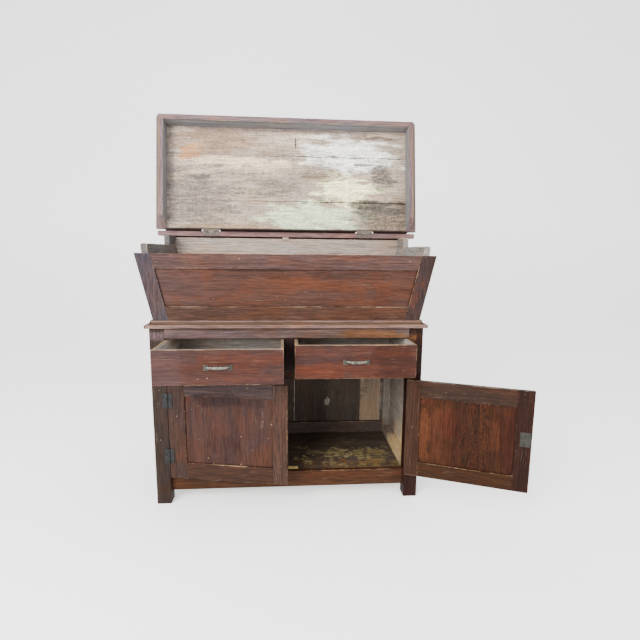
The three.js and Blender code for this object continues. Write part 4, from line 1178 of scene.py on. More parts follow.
@cache
def finishes() -> dict[Skin, Finish]:
    """Every finish of the cabinet, by the skin it makes."""
    stained = WoodFinish(
        colour=shown(*STAIN), bare=shown(182, 162, 138), reach=0.22, fleck_colour=shown(196, 184, 168),
        space=Space.CABINET, patches=STAIN_AND_PAINTED_LIGHT_PATCHES,
    )
    raw = replace(stained, patches=(), space=Space.BOARD, rough=0.7, drift=0.35)

    def bare(colour: Sequence[int], under: Sequence[int], light: Light = Light.FRONT, **rest) -> WoodFinish:
        """Raw wood of one colour over another one, as both show in a light."""
        return replace(raw, colour=shown(*colour, light), bare=shown(*under, light), **rest)

    made = {
        Skin.STAINED: stained,
        Skin.FADED: replace(
            stained, colour=shown(155, 130, 126), warm=(1.2, 0.95, 0.8), cool=(0.8, 0.95, 1.1), patches=()
        ),
        Skin.STAINED_PANEL: replace(stained, drift=0.85, fibres=0.26, streaks=0.22),
        Skin.FIGURED_PANEL: FiguredWood(
            colour=shown(100, 64, 48), bare=shown(168, 146, 120), reach=0.22,
            fleck_colour=shown(170, 136, 108), patches=PANEL_PATCHES,
        ),
        Skin.DRAWER_FACE: replace(stained, drift=0.75, fibres=0.24, streaks=0.18, knocks=0.35),
        Skin.SHADED_WOOD: bare(
            INDOOR, (120, 104, 84), Light.INSIDE, fibres=0.16, streaks=0.12, flecks=0.03, space=Space.CABINET,
            patches=INDOOR_STAIN_AND_LIGHT_PATCHES,
        ),
        # painted shade: a darker stain for the moulding's hollow under its head
        Skin.HOLLOW: replace(stained, colour=shown(84, 62, 52), patches=(), fibres=0.2),
        Skin.PALE_WOOD: bare(SCOURED, (206, 190, 166), Light.TROUGH, fibres=0.3, streaks=0.4),
        Skin.DRAWER_WOOD: bare(DRAWER_SIDE, (206, 186, 150), Light.TROUGH, fibres=0.3),
        # painted shade: the grey copies the cool shade inside the drawer, over its bare wood
        Skin.DRAWER_INSIDE: replace(raw, colour=shown(92, 86, 80, Light.DRAWER), fibres=0.25),
        Skin.FLOOR_WOOD: bare(
            (66, 54, 44), (150, 126, 92), Light.FLOOR, patches=FLOOR_PATCHES, crumble=0.95,
            crumb_stretch=(34, 46, 1),
        ),
        Skin.PAINT: LidPaint(
            colour=shown(198, 189, 178, Light.LID), warm=(1.15, 1.0, 0.85), cool=(0.85, 0.92, 0.98),
            bare=shown(150, 126, 106, Light.LID), fleck_colour=shown(120, 104, 92, Light.LID), fibres=0.2,
            streaks=0.2, bands=0.05, flecks=0.05, knocks=0.35, rough=0.6, patches=LID_PAINT_AND_SHADE_PATCHES,
            drift_of_border=(7, 26, 1), crumb_stretch=(40, 110, 1), crumble=0.35, border=shown(173, 156, 153),
            dark=shown(70, 58, 48, Light.LID), dark_edge=shown(62, 50, 48, Light.LID), seams=Lid.seams,
        ),
        Skin.RIM: bare((168, 162, 158), (222, 212, 196), fibres=0.25),
        Skin.PUTTY: bare((196, 180, 150), (210, 200, 180), knocks=0.0, fibres=0.1),
    }
    for skin, (*colours, rest) in METALS.items():
        made[skin] = MetalFinish(*(shown(*colour) for colour in colours), **rest)
    return made


@cache
def material(skin: Skin) -> bpy.types.Material:
    """The material of a skin, made when it is first asked for."""
    return finishes()[skin].material(skin.value)


# ---- reading the frame


def corners(node: str) -> tuple[Array, Array]:
    """Lowest and highest corner of a CAD node at rest."""
    low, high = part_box(node)
    return np.array(low), np.array(high)


def node_points(node: str) -> Array:
    """The points of a CAD node."""
    mesh = frame["nodes"][node].data
    points = np.empty(len(mesh.vertices) * 3, np.float32)
    mesh.vertices.foreach_get("co", points)
    return points.reshape(-1, 3).astype(float)


def level_span(node: str, height: float, slack: float = 0.6 * MM) -> Pair:
    """How far a CAD node reaches along X at a height where it has corners."""
    points = node_points(node)
    there = points[np.abs(points[:, 2] - height) < slack]
    return float(there[:, 0].min()), float(there[:, 0].max())


@dataclass
class Hinge:
    """A body on its hinge: the matrix that carries the shut body, drawn round its pin, to where it rests."""

    joint: str
    shut_limit: int

    @property
    def facts(self) -> dict:
        """What the frame says of the joint."""
        return next(joint for joint in frame["joints"] if joint["name"] == self.joint)

    @property
    def matrix(self) -> Matrix:
        """The turn from shut to rest, at the pin."""
        angle = -math.radians(self.facts["range_deg"][self.shut_limit])
        return Matrix.Translation(self.facts["pos_m"]) @ Matrix.Rotation(angle, 4, self.facts["axis"])

    def shut_box(self, node: str) -> tuple[Array, Array]:
        """Lowest and highest corner of a node when shut, measured from the pin."""
        back = np.array(self.matrix.inverted())
        points = node_points(node) @ back[:3, :3].T + back[:3, 3]
        return points.min(0), points.max(0)


def fill_node(
    node: str, grain: Grain, facing: Facing, look: Look, name: str = "", body: str = "cabinet",
    slot: str = "stained_wood", hinge: Hinge | None = None, **rest,
) -> None:
    """Makes the piece of one board that fills a CAD node's box and stands for it.

    Args:
        node: The node, whose name also names the board.
        grain: The axis of the board's length.
        facing: The way its face looks.
        look: What it wears.
        name: The piece's name, where it isn't the node's with _board.
        body: The body that it rides on.
        slot: A material slot name, which is not used.
        hinge: The hinge that carries it, where it is drawn shut.
        **rest: Other fields of the plank.
    """
    low, high = hinge.shut_box(node) if hinge else corners(node)
    board = Plank.between(node, low, high, grain, facing, look, **rest)
    matrix = hinge.matrix if hinge else None
    Piece(name or f"{node}_board", node, body, slot).add(board, matrix=matrix).make()


# ---- base


@dataclass
class BaseFrame:
    """Legs, front rails, the divider between the drawers, and the two framed sides."""

    side_rail: float = 25 * MM
    side_top_rail: float = 68 * MM
    side_bottom_rail: float = 71 * MM
    side_panel: float = 10 * MM
    side_panel_inset: float = 6 * MM
    panel_groove: float = 3 * MM
    ledge: float = 26 * MM
    runner: Pair = (52 * MM, 20 * MM)
    guide: float = 24 * MM
    cleat: float = 35 * MM
    leg_clear: float = 1.2 * MM
    leg_outer_ease: float = 1.3 * MM
    leg_inner_ease: float = 0.5 * MM

    def build(self) -> None:
        """Makes the legs, the rails and both sides."""
        self.legs()
        self.rails()
        for side in Side:
            self.framed_side(side)

    def legs(self) -> None:
        """Four square legs, rubbed outside and below; the rear ones are bare inside."""
        outer, inner = self.leg_outer_ease, self.leg_inner_ease
        eases = {Side.LEFT: (outer, inner, inner, outer), Side.RIGHT: (inner, inner, outer, outer)}
        inside = (Skin.STAINED, Skin.STAINED, Skin.SHADED_WOOD, Skin.STAINED)
        edges = {Side.LEFT: inside, Side.RIGHT: inside[2:] + inside[:2]}
        tints = {Side.LEFT: stain(91, 76, 69), Side.RIGHT: stain(77, 53, 45)}
        for side in Side:
            front = Look(Skin.STAINED, tint=tints[side])
            rear = Look(Skin.SHADED_WOOD, Skin.STAINED, edges[side])
            for row, look in (("front", front), ("rear", rear)):
                fill_node(
                    f"{row}_{side.word}_leg", Grain.UPRIGHT, Facing.FRONT, look, f"{row}_{side.word}_post",
                    ease=eases[side], corner=2 * MM,
                )

    def rails(self) -> None:
        """Top rail, drawer rail, divider and bottom rail of the front."""
        rows = (
            ("front_top_rail", Grain.ACROSS, stain(154, 132, 123), (1 * MM, JOINT, JOINT, JOINT)),
            ("drawer_rail", Grain.ACROSS, stain(84, 62, 52), (1 * MM, JOINT, 1 * MM, JOINT)),
            ("drawer_divider", Grain.UPRIGHT, stain(78, 58, 56), (1 * MM, JOINT, 1 * MM, JOINT)),
            ("bottom_rail", Grain.ACROSS, stain(120, 84, 63), (1.3 * MM, JOINT, 1.5 * MM, JOINT)),
        )
        for node, grain, tint, ease in rows:
            fill_node(node, grain, Facing.FRONT, Look(Skin.STAINED, Skin.SHADED_WOOD, tint=tint), ease=ease)

    def framed_side(self, side: Side) -> None:
        """One side: rails and panel outside, and the drawer runner, guide, cleat and floor ledge inside."""
        node, sign = f"{side.word}_side", side.value
        box, floor = corners(node), corners("cabinet_floor")
        (_, near, foot), (_, far, top) = box
        outer = box[side.outer][0]
        rail_inner = outer - sign * self.side_rail
        panel_outer = outer - sign * self.side_panel_inset
        panel_inner = panel_outer - sign * self.side_panel
        leg_face = corners(f"front_{side.word}_leg")[1 - side.outer][0] + sign * self.leg_clear
        runner_top = corners("centre_drawer_runner")[1][2] - self.guide
        below, above = foot + self.side_bottom_rail, top - self.side_top_rail
        under, over = floor[0][2] - SEAT_GAP, floor[1][2] + SEAT_GAP
        groove, (width, depth) = self.panel_groove, self.runner
        runner_foot, runner_edge = runner_top - depth, panel_inner - sign * width
        out, inside = Facing((sign, 0, 0)), Facing((-sign, 0, 0))
        look, raw = Look(Skin.STAINED, back=Skin.SHADED_WOOD), Look(Skin.SHADED_WOOD)
        panel = replace(look, face=Skin.STAINED_PANEL)
        rows = (
            ("top_rail", rail_inner, outer, above, top, out, look),
            ("bottom_rail", rail_inner, outer, foot, below, out, look),
            ("panel", panel_inner, panel_outer, below - groove, above + groove, out, panel),
            ("ledge", rail_inner - sign * self.ledge, rail_inner, foot, under, Facing.UP, raw),
            ("cleat", leg_face, panel_inner, over, over + self.cleat, inside, raw),
            ("runner", runner_edge, panel_inner, runner_foot, runner_top, Facing.UP, raw),
            ("guide", leg_face, panel_inner, runner_top, runner_top + self.guide, inside, raw),
        )
        piece = Piece(f"{node}_boards", node)
        for part, x0, x1, z0, z1, facing, wears in rows:
            low, high = (x0, near, z0), (x1, far, z1)
            piece.add(Plank.between(f"{node}_{part}", low, high, Grain.DEEP, facing, wears))
        piece.make()


@dataclass
class BaseInside:
    """Floor, door stop, back rail, back boards and the runner between the drawers."""

    floor_seams: tuple[float, ...] = (0.17, 0.33)
    back_seams: tuple[float, ...] = (178 * MM, 353 * MM, 528 * MM, 704 * MM, 879.7 * MM, 989 * MM)
    back_colours: tuple[Colour, ...] = (
        (46, 38, 34), (44, 36, 32), (50, 41, 36), (46, 38, 33), (56, 47, 40), (114, 98, 79), (60, 52, 46)
    )
    guide_inset: float = 15 * MM
    guide: float = 24 * MM
    board_ease: float = 0.8 * MM

    def build(self) -> None:
        """Makes the boards inside the base."""
        self.floor()
        self.back()
        look = Look(Skin.DRAWER_WOOD, tint=ratio((205, 196, 150), DRAWER_SIDE, Light.TROUGH))
        block = Plank.between("door_stop", *corners("door_stop_block"), Grain.ACROSS, Facing.UP, look)
        Piece("door_stop", "door_stop_block", slot="bare_wood").add(block).make()
        look = Look(Skin.SHADED_WOOD, tint=indoor(52, 43, 39))
        fill_node("back_rail", Grain.ACROSS, Facing.FRONT, look, "floor_back_rail", slot="bare_wood")
        self.centre_runner()

    def floor(self) -> None:
        """Three floor boards side to side; the middle one runs out between the legs to the sides."""
        low, high = corners("cabinet_floor")
        seams = [low[1], *(low[1] + seam for seam in self.floor_seams), high[1]]
        origin = np.array([corners("bottom_rail")[0][0], low[1], high[2]])
        piece = Piece("floor_boards", "cabinet_floor", slot="floor_wood")
        for i, (near, far) in enumerate(zip(seams, seams[1:])):
            outline = self.floor_outline(near + (SEAT_GAP if i else 0), far) - origin[:2]
            piece.add(Plank(
                f"floor_{i}", origin, X, Y, -Z, outline, high[2] - low[2], Look(Skin.FLOOR_WOOD),
                ease=JOINT, corner=1 * MM,
            ))
        piece.make()

    def floor_outline(self, near: float, far: float) -> Array:
        """Corners of one floor board from near to far, counter-clockwise; legs make it narrow beside them."""
        narrow, wide = ([corner[0] for corner in corners(node)] for node in ("bottom_rail", "cabinet_floor"))
        clear = [corner[1] for corner in corners("left_side")]
        near_legs, far_legs = near < clear[0] - MM, far > clear[1] + MM
        steps = [(near, narrow), (clear[0], narrow), (clear[0], wide)] if near_legs else [(near, wide)]
        steps += [(clear[1], wide), (clear[1], narrow), (far, narrow)] if far_legs else [(far, wide)]
        right, left = ([(span[i], y) for y, span in steps] for i in (1, 0))
        return np.array(right + left[::-1])

    def back(self) -> None:
        """Upright back boards of different ages, one of them much lighter."""
        low, high = corners("back_boards")
        seams = [0.0, *self.back_seams, high[0] - low[0]]
        piece = Piece("back_boarding", "back_boards", slot="bare_wood")
        for i, (left, right) in enumerate(zip(seams, seams[1:])):
            near, far = (low[0] + left + (SEAT_GAP if i else 0), *low[1:]), (low[0] + right, *high[1:])
            look = Look(Skin.SHADED_WOOD, tint=indoor(*self.back_colours[i]))
            piece.add(Plank.between(
                f"back_{i}", near, far, Grain.UPRIGHT, Facing.FRONT, look, ease=self.board_ease
            ))
        piece.make()

    def centre_runner(self) -> None:
        """The runner that both drawers share, with its guide on top."""
        low, high = corners("centre_drawer_runner")
        step = high[2] - self.guide
        narrow_low = (low[0] + self.guide_inset, low[1], step)
        narrow_high = (high[0] - self.guide_inset, *high[1:])
        rows = (("centre_runner", low, (*high[:2], step)), ("centre_guide", narrow_low, narrow_high))
        look = Look(Skin.SHADED_WOOD, tint=indoor(74, 62, 52))
        boards = [Plank.between(name, near, far, Grain.DEEP, Facing.UP, look) for name, near, far in rows]
        Piece("drawer_runner", "centre_drawer_runner", slot="bare_wood").add(*boards).make()


@dataclass
class WaistMoulding:
    """The moulding round the trough's foot: a square nose under a hollow, mitred at the front corners."""

    projection: float = 14.5 * MM
    inlay: float = 15 * MM
    nose: float = 11.5 * MM
    fillet: float = 3 * MM
    soft: float = 1.6 * MM
    set_back: float = 5 * MM
    step: float = 9 * MM
    # strips of the section that take the hollow's painted shade
    hollow_strips: tuple[int, int] = (14, 20)
    arris: tuple[float, ...] = (0.5, 0.3, 0.1, 0.2, 0.4, 0.3, 0.05, 0.0, 0.1, 0.4)
    rubbing: float = 0.6

    def profile(self, height: float) -> tuple[Array, Array]:
        """The moulding's section.

        Args:
            height: The moulding's height.

        Returns:
            Points outwards and upwards, and for each its distance from an arris, from 0 to 1. The nose's
            corners and the head of the hollow are quarter circles.
        """
        turn = np.linspace(0, math.pi / 2, 5)
        rise, run = 1 - np.cos(turn), 1 - np.sin(turn)
        shelf, soft = self.nose + self.fillet, self.soft
        low_arc = np.stack([self.projection - self.fillet * run, self.fillet * rise], 1)
        top_arc = np.stack([self.projection - soft * rise, shelf - soft * run], 1)
        t = np.linspace(0, 1, 10)[1:, None]
        start = np.array([self.projection - 2 * soft, shelf])
        bend, end = np.array([-self.set_back, shelf]), np.array([-self.set_back, height - self.fillet])
        hollow = (1 - t) ** 2 * start + 2 * t * (1 - t) * bend + t**2 * end
        head = np.array([[-self.set_back, height], [-self.inlay, height]])
        foot = np.array([[-self.inlay, 0.0], [0.0, 0.0]])
        points = np.concatenate([foot, low_arc, top_arc, start[None], hollow, head])
        edge = np.ones(len(points))
        edge[len(foot) : len(foot) + len(self.arris)] = self.arris
        return points, edge

    def build(self) -> None:
        """Makes the three mitred runs, with painted shade in their hollow under the head."""
        low, high = corners("waist_moulding")
        section, edge = self.profile(high[2] - low[2])
        outwards, up = section[:, 0], section[:, 1]
        face = {side: corners(f"front_{side.word}_leg")[side.outer][0] for side in Side}
        front = corners("front_left_leg")[0][1]
        count = int((high[0] - low[0]) / self.step)
        share = np.linspace(0, 1, count)[:, None]
        edges = np.repeat(edge[None], count, axis=0)
        rubbed, tint = np.full(edges.shape, self.rubbing), stain(176, 151, 140)

        def run(length: Array, x: Array, y: Array, seed: int) -> Surface:
            """One run, from the length along it and the X and Y of its points."""
            rings = np.stack(np.broadcast_arrays(x, y, low[2] + up), axis=-1)
            place = np.stack(np.broadcast_arrays(length, outwards, up), axis=-1)
            made = loft(rings, Skin.STAINED, place, edges, rubbed, tint, seed=seed)
            strips = made.quad_skins.reshape(count - 1, -1).copy()
            # painted shade: the hollow under the head gets a darker stain
            strips[:, slice(*self.hollow_strips)] = Skin.HOLLOW.number
            return replace(made, quad_skins=strips.reshape(-1))

        left, right = face[Side.LEFT] - outwards, face[Side.RIGHT] + outwards
        x = left + (right - left) * share
        runs = [run(x, x, front - outwards, 11)]
        for side in Side:
            start = front - outwards
            y = start + (high[1] - start) * share
            runs.append(run(y, face[side] + side.value * outwards, y, 12 + side.value))
        Piece("waist_moulding_runs", "waist_moulding").add(*runs).make()


# ---- trough


@dataclass
class Trough:
    """The flared dough trough: framed front, side boards with posts, back and floor."""

    side_thickness: float = 25 * MM
    side_corner: float = 36 * MM
    small_corner: float = 1.5 * MM
    post_height: float = 44.5 * MM
    post_depth: float = 140 * MM
    spacer: Pair = (-31 * MM, -1 * MM)
    spacer_size: Pair = (8 * MM, 13 * MM)
    gap_under_rail: float = 8 * MM
    gap_depth: float = 10 * MM
    strip_clear: float = 0.1 * MM

    def build(self) -> None:
        """Makes the trough's boards."""
        self.front()
        for side in Side:
            self.side(side)
        self.back()
        fill_node("trough_floor", Grain.ACROSS, Facing.UP, Look(Skin.PALE_WOOD), slot="bare_wood")

    def sloped(self, node: str, grain: Grain, look: Look, **rest) -> Plank:
        """A board of the front: four corners from the node's reach at its foot and its head."""
        low, high = corners(node)
        foot, head = level_span(node, low[2]), level_span(node, high[2])
        xs = np.array([foot[0], foot[1], head[1], head[0]]) - low[0]
        zs = np.array([0, 0, 1, 1]) * (high[2] - low[2])
        if grain is Grain.ACROSS:
            return Plank(node, low, X, Z, Y, np.stack([xs, zs], 1), high[1] - low[1], look, **rest)
        return Plank(node, low, Z, X, Y, np.stack([zs, xs], 1)[::-1], high[1] - low[1], look, **rest)

    def front(self) -> None:
        """Two stiles, two rails and the recessed panel."""
        shut, rubbed = JOINT, 1.2 * MM
        rows = (
            # the left stile's mauve-grey cast is a painted reflection of window light on the polish, over its
            # purple-brown stain
            ("left_stile", Grain.UPRIGHT, Skin.STAINED, (112, 101, 108), (rubbed, 0.9 * MM, shut, rubbed)),
            ("right_stile", Grain.UPRIGHT, Skin.STAINED, (100, 80, 76), (rubbed, rubbed, shut, 1.3 * MM)),
            ("front_bottom_rail", Grain.ACROSS, Skin.STAINED, (124, 92, 77), (shut, shut, 1.8 * MM, shut)),
            ("front_top_rail", Grain.ACROSS, Skin.STAINED, (133, 104, 96), (0.8 * MM, shut, rubbed, shut)),
            ("front_panel", Grain.ACROSS, Skin.STAINED_PANEL, (129, 94, 80), shut),
        )
        for part, grain, skin, colour, ease in rows:
            node = f"trough_{part}"
            board = self.sloped(node, grain, Look(skin, Skin.PALE_WOOD, tint=stain(*colour)), ease=ease)
            Piece(f"{node}_board", node).add(board).make()

    def side(self, side: Side) -> None:
        """A flared side board with a rounded front corner, and the post behind it under the hinge rail."""
        node, sign = f"trough_{side.word}_side", side.value
        low, high = corners(node)
        top = high[2] - self.post_height
        foot_x, head_x = (level_span(node, z)[side.outer] for z in (low[2], high[2]))
        height, depth = top - low[2], high[1] - low[1]
        lean = np.array([(head_x - foot_x) / height, 0, 1])
        outline = np.array([(0, 0), (depth, 0), (depth, height), (0, height)])
        # painted light and shade: the left board is tinted darker for the shade on its inner face, the right
        # one lighter for the light it catches from the left
        tint = scoured(121, 116, 114) if side is Side.LEFT else scoured(155, 152, 147)
        look = Look(Skin.STAINED, Skin.PALE_WOOD, (Skin.PALE_WOOD,), tint)
        origin, rounding = np.array([foot_x, *low[1:]]), (*[self.small_corner] * 3, self.side_corner)
        board = Plank(
            node, origin, Y, lean, -sign * X, outline, self.side_thickness, look,
            corner=rounding, arc_points=9,
        )
        post_low = (head_x - sign * self.side_thickness, high[1] - self.post_depth, top)
        facing = Facing((sign, 0, 0))
        post = Plank.between(f"{node}_post", post_low, (head_x, *high[1:]), Grain.DEEP, facing, look)
        Piece(f"{node}_board", node, slot="bare_wood").add(board, post).make()

    def back(self) -> None:
        """The upright back board, a dark strip set back in the gap above it as painted shadow under the hinge
        rail, and a spacer under the rail.
        """
        node = "trough_back"
        low, high = corners(node)
        top = high[2] - self.post_height
        foot, head = level_span(node, low[2]), level_span(node, high[2])
        xs = [foot[0], foot[1], head[1], head[1], head[0], head[0]]
        zs = [low[2], low[2], top, high[2], high[2], top]
        outline = np.stack([np.array(xs) - low[0], np.array(zs) - low[2]], 1)
        outline[3:5, 1] -= self.gap_under_rail
        # dark is a painted shadow colour, for the strip in the gap under the hinge rail
        pale, dark = Look(Skin.PALE_WOOD), Look(Skin.STAINED, tint=stain(66, 54, 50))
        board = Plank(
            node, low, X, Z, Y, outline, high[1] - low[1], Look(Skin.PALE_WOOD, Skin.STAINED), ease=1 * MM
        )
        # painted shadow: the strip set back in the gap is stained dark to stand for the shade under the hinge
        # rail
        near = (head[0], low[1] + self.gap_depth, high[2] - self.gap_under_rail + self.strip_clear)
        far = (head[1], *high[1:])
        strip = Plank.between("trough_back_strip", near, far, Grain.ACROSS, Facing.FRONT, dark, ease=JOINT)
        middle, (deep, tall) = (foot[0] + foot[1]) / 2, self.spacer_size
        near = (middle + self.spacer[0], low[1] - deep, high[2] - tall)
        far = (middle + self.spacer[1], low[1], high[2])
        block = Plank.between("spacer", near, far, Grain.ACROSS, Facing.FRONT, pale)
        Piece(f"{node}_board", node, slot="bare_wood").add(board, strip, block).make()


# ---- lid


@dataclass
class Lid:
    """The hinge rail, and the lid of three planks with rims that drop over the trough."""

    nose: float = 8.7 * MM
    square: float = 0.6 * MM
    seams: tuple[float, ...] = (0.142, 0.370)
    rim_bevel: float = 45 * MM
    front_corner: float = 12 * MM
    bead: Pair = (4 * MM, 0.4 * MM)
    bead_inset: float = 1.5 * MM
    bead_end: float = 4 * MM
    lid_slip: float = 3.6 * MM
    rail_slip: Pair = (5 * MM, 4.2 * MM)
    slip_ends: float = 40 * MM
    slip_clear: float = 5 * MM
    slip_sunk: float = 0.2 * MM
    rail_corner: float = 4 * MM
    plank_corner: float = 0.8 * MM
    plank_gap: float = 0.15 * MM
    rail_tint: Colour = (2.1, 2.1, 2.15)
    # painted shadow: the slips that close the slit between rail and lid are tinted nearly black to read as
    # its shade
    edge_tint: Colour = (0.25, 0.22, 0.22)
    rim_tint: Colour = (1.5, 1.68, 1.85)
    hinge: Hinge = field(default_factory=lambda: Hinge("lid_hinge", 1))

    def build(self) -> None:
        """Makes the rail and the lid."""
        self.rail()
        self.planks()
        self.rims()

    def rail(self) -> None:
        """The fixed rail, round on its ends and rear and square in front."""
        low, high = corners("hinge_rail")
        look = Look(Skin.FADED, tint=self.rail_tint)
        eases = (self.square, self.nose, self.nose, self.nose)
        board = Plank.between(
            "hinge_rail", low, high, Grain.ACROSS, Facing.UP, look, ease=eases, corner=self.rail_corner
        )
        piece = Piece("lid_hinge_rail", "hinge_rail").add(board)
        depth, height = self.rail_slip
        # painted shadow: dark slips along the rail's top front close the slit under the lid
        dark = replace(look, tint=self.edge_tint)
        for x0, x1 in self.between_leaves():
            near, far = (x0, low[1] + self.slip_sunk, high[2] - MM), (x1, low[1] + depth, high[2] + height)
            slip = Plank.between(f"rail_slip_{x0:.2f}", near, far, Grain.ACROSS, Facing.UP, dark, ease=JOINT)
            piece.add(slip)
        piece.make()

    def planks(self) -> None:
        """Three planks edge to edge; length runs across the lid and width from the hinge edge forwards."""
        low, high = self.hinge.shut_box("lid_board")
        origin = np.array([(low[0] + high[0]) / 2, high[1], low[2]])
        half, thickness = (high[0] - low[0]) / 2, high[2] - low[2]
        seams = [0.0, *self.seams, high[1] - low[1]]
        look, wear = Look(Skin.PAINT, Skin.FADED, (Skin.FADED,)), Wear(wander=0.1, dents=1.2)
        piece = Piece("lid_planks", "lid_board", "lid", "painted_wood")
        for i, (near, far) in enumerate(zip(seams, seams[1:])):
            start, last = near + (self.plank_gap if i else 0), i == len(seams) - 2
            outline = np.array([(-half, start), (half, start), (half, far), (-half, far)])
            eases = (JOINT if i else self.square, self.nose, self.nose if last else JOINT, self.nose)
            rounding = [self.plank_corner] * 2 + [self.front_corner if last else self.plank_corner] * 2
            board = Plank(
                f"lid_plank_{i}", origin, X, -Y, Z, outline, thickness, look,
                ease=eases, corner=rounding, wear=wear, arc_points=6, round_steps=6,
            )
            piece.add(board, matrix=self.hinge.matrix)
        # painted shadow: dark slips along the lid's hinge edge close the slit above the rail
        dark, pin = Look(Skin.FADED, tint=self.edge_tint), self.hinge.matrix.translation[0]
        for stretch in self.between_leaves():
            x0, x1 = (x - pin for x in stretch)
            near, far = (x0, high[1] - MM, low[2] + MM), (x1, high[1] + self.lid_slip, high[2] - MM)
            slip = Plank.between(f"lid_slip_{x0:.2f}", near, far, Grain.ACROSS, Facing.REAR, dark, ease=JOINT)
            piece.add(slip, matrix=self.hinge.matrix)
        piece.make()

    def between_leaves(self) -> list[Pair]:
        """The stretches along X where no hinge leaf sits between the rail and the lid."""
        low, high = corners("hinge_rail")
        inset = self.slip_ends - self.slip_clear
        leaves = [corners(f"{side.word}_lid_hinge_fixed_leaf") for side in Side]
        stops = [low[0] + inset, *(corner[0] for leaf in leaves for corner in leaf), high[0] - inset]
        return [(a + self.slip_clear, b - self.slip_clear) for a, b in zip(stops[::2], stops[1::2])]

    def rims(self) -> None:
        """The front rim, and side rims with slanted rear ends and a pale bead on their outer arris."""
        matrix = self.hinge.matrix
        look = Look(Skin.RIM, edges=(Skin.FADED,), tint=self.rim_tint)
        box = self.hinge.shut_box("lid_front_rim")
        front = Plank.between("front_rim", *box, Grain.ACROSS, Facing.REAR, look, ease=1.5 * MM)
        Piece("lid_front_rim_board", "lid_front_rim", "lid").add(front, matrix=matrix).make()
        for side in Side:
            node = f"lid_{side.word}_rim"
            box = self.hinge.shut_box(node)
            width, length, height = box[1] - box[0]
            origin, inwards = np.array([box[side.outer][0], *box[0][1:]]), -side.value * X
            outline = np.array([(0, 0), (length - self.rim_bevel, 0), (length, height), (0, height)])
            board = Plank(node, origin, Y, Z, inwards, outline, width, look, ease=1.2 * MM)
            (wide, proud), end = self.bead, self.bead_end
            start = origin + inwards * self.bead_inset - Z * proud
            far = start + inwards * wide + Z * 2 * proud + Y * (length - self.rim_bevel - end)
            bead = Plank.between(
                f"{node}_bead", start + Y * end, far, Grain.DEEP, Facing.DOWN, Look(Skin.PUTTY), ease=0.3 * MM
            )
            Piece(f"{node}_board", node, "lid").add(board, bead, matrix=matrix).make()


# ---- drawers


@dataclass
class Pull:
    """A cast bow pull: square feet, a grip that bows down a little, and a screw in each foot."""

    span: float = 88 * MM
    foot: Triple = (17 * MM, 22 * MM, 4 * MM)
    reach: float = 23.7 * MM
    grip: Pair = (9.5 * MM, 6 * MM)
    lift: float = 5.5 * MM
    sag: float = 2.5 * MM
    screw: Pair = (2 * MM, -5.5 * MM)
    seat: float = 0.3 * MM
    rooted: float = 1 * MM
    stations: int = 61
    sides: int = 20

    def surfaces(self, middle: Array) -> list[Surface]:
        """The pull on a drawer face.

        The grip's middle line goes out from the upper part of one foot, round a quarter of a
        superellipse, across and back, and sags a little. Its section is an ellipse that is square to that
        line and higher in the middle.

        Args:
            middle: The point of the drawer face between the feet.

        Returns:
            Grip, feet and screws.
        """
        half = self.span / 2
        t = np.linspace(-1, 1, self.stations)
        bend = np.sign(t) * np.abs(t) ** 0.62
        out = self.reach * np.maximum(1 - np.abs(bend) ** 5, 0) ** (1 / 2.2)
        out = out + self.rooted * (np.abs(t) > 0.99)
        line = np.stack([half * bend, -out, self.lift - self.sag * (1 - bend**2)], 1)
        ahead = np.gradient(line, axis=0)
        ahead /= np.linalg.norm(ahead, axis=1, keepdims=True)
        side = np.cross(ahead, np.tile(Z, (len(line), 1)))
        side /= np.linalg.norm(side, axis=1, keepdims=True)
        upwards = np.cross(side, ahead)
        angle = np.linspace(0, 2 * math.pi, self.sides, endpoint=False)[None, :, None]
        swell = 0.75 + 0.42 * (1 - bend[:, None, None] ** 2)
        ring = side[:, None] * np.cos(angle) * self.grip[1] / 2
        ring = ring + upwards[:, None] * np.sin(angle) * self.grip[0] / 2 * swell
        made = [loft(middle + line[:, None] + ring, Skin.CAST, seed=3)]
        width, height, thick = self.foot
        for sign in (-1, 1):
            low = middle + np.array([sign * half - width / 2, -thick, -height / 2])
            high = low + np.array([width, thick - self.seat, height])
            foot = Plank.between(
                "pull_foot", low, high, Grain.ACROSS, Facing.FRONT, Look(Skin.CAST_FOOT),
                ease=1.2 * MM, corner=3 * MM, step=4 * MM,
            )
            centre = middle + np.array([sign * (half - self.screw[0]), -thick, self.screw[1]])
            made += [foot.surface(), Screw(radius=2.8 * MM).surface(centre, -Y, 0.4 * sign)]
        return made


@dataclass
class Screw:
    """A slotted countersunk screw head."""

    radius: float = 3.2 * MM
    slot: float = 0.5 * MM
    depth: float = 0.7 * MM
    dome: float = 0.6 * MM
    sunk: float = 1.2 * MM
    skin: Skin = Skin.SCREW

    def surface(self, centre: Array, out: Array, turn: float) -> Surface:
        """The head.

        A square grid is bent onto a disc: each coordinate is scaled by the root of one less half the
        square of the other. The height is a shallow dome less the slot.

        Args:
            centre: The middle of the head, on the face that it sits in.
            out: The way that face looks.
            turn: Angle of the slot.

        Returns:
            The closed head.
        """
        lip = self.slot / self.radius
        v = np.array([-1, -0.8, -0.5, -lip - 0.02, -lip, lip, lip + 0.02, 0.5, 0.8, 1])
        u = np.linspace(-1, 1, 9)
        uu, vv = np.meshgrid(u, v, indexing="ij")
        a, b = uu * np.sqrt(1 - vv**2 / 2), vv * np.sqrt(1 - uu**2 / 2)
        height = self.dome * (1 - a**2 - b**2) - np.where(np.abs(vv) <= lip, self.depth, 0)
        first = np.cross(out, Z if abs(out[2]) < 0.9 else X)
        first /= np.linalg.norm(first)
        second = np.cross(out, first)
        e1 = first * math.cos(turn) + second * math.sin(turn)
        e2 = second * math.cos(turn) - first * math.sin(turn)
        flat = centre + self.radius * (a[..., None] * e1 + b[..., None] * e2)
        top = flat + height[..., None] * out
        return pillow(top, flat - self.sunk * out, self.skin)


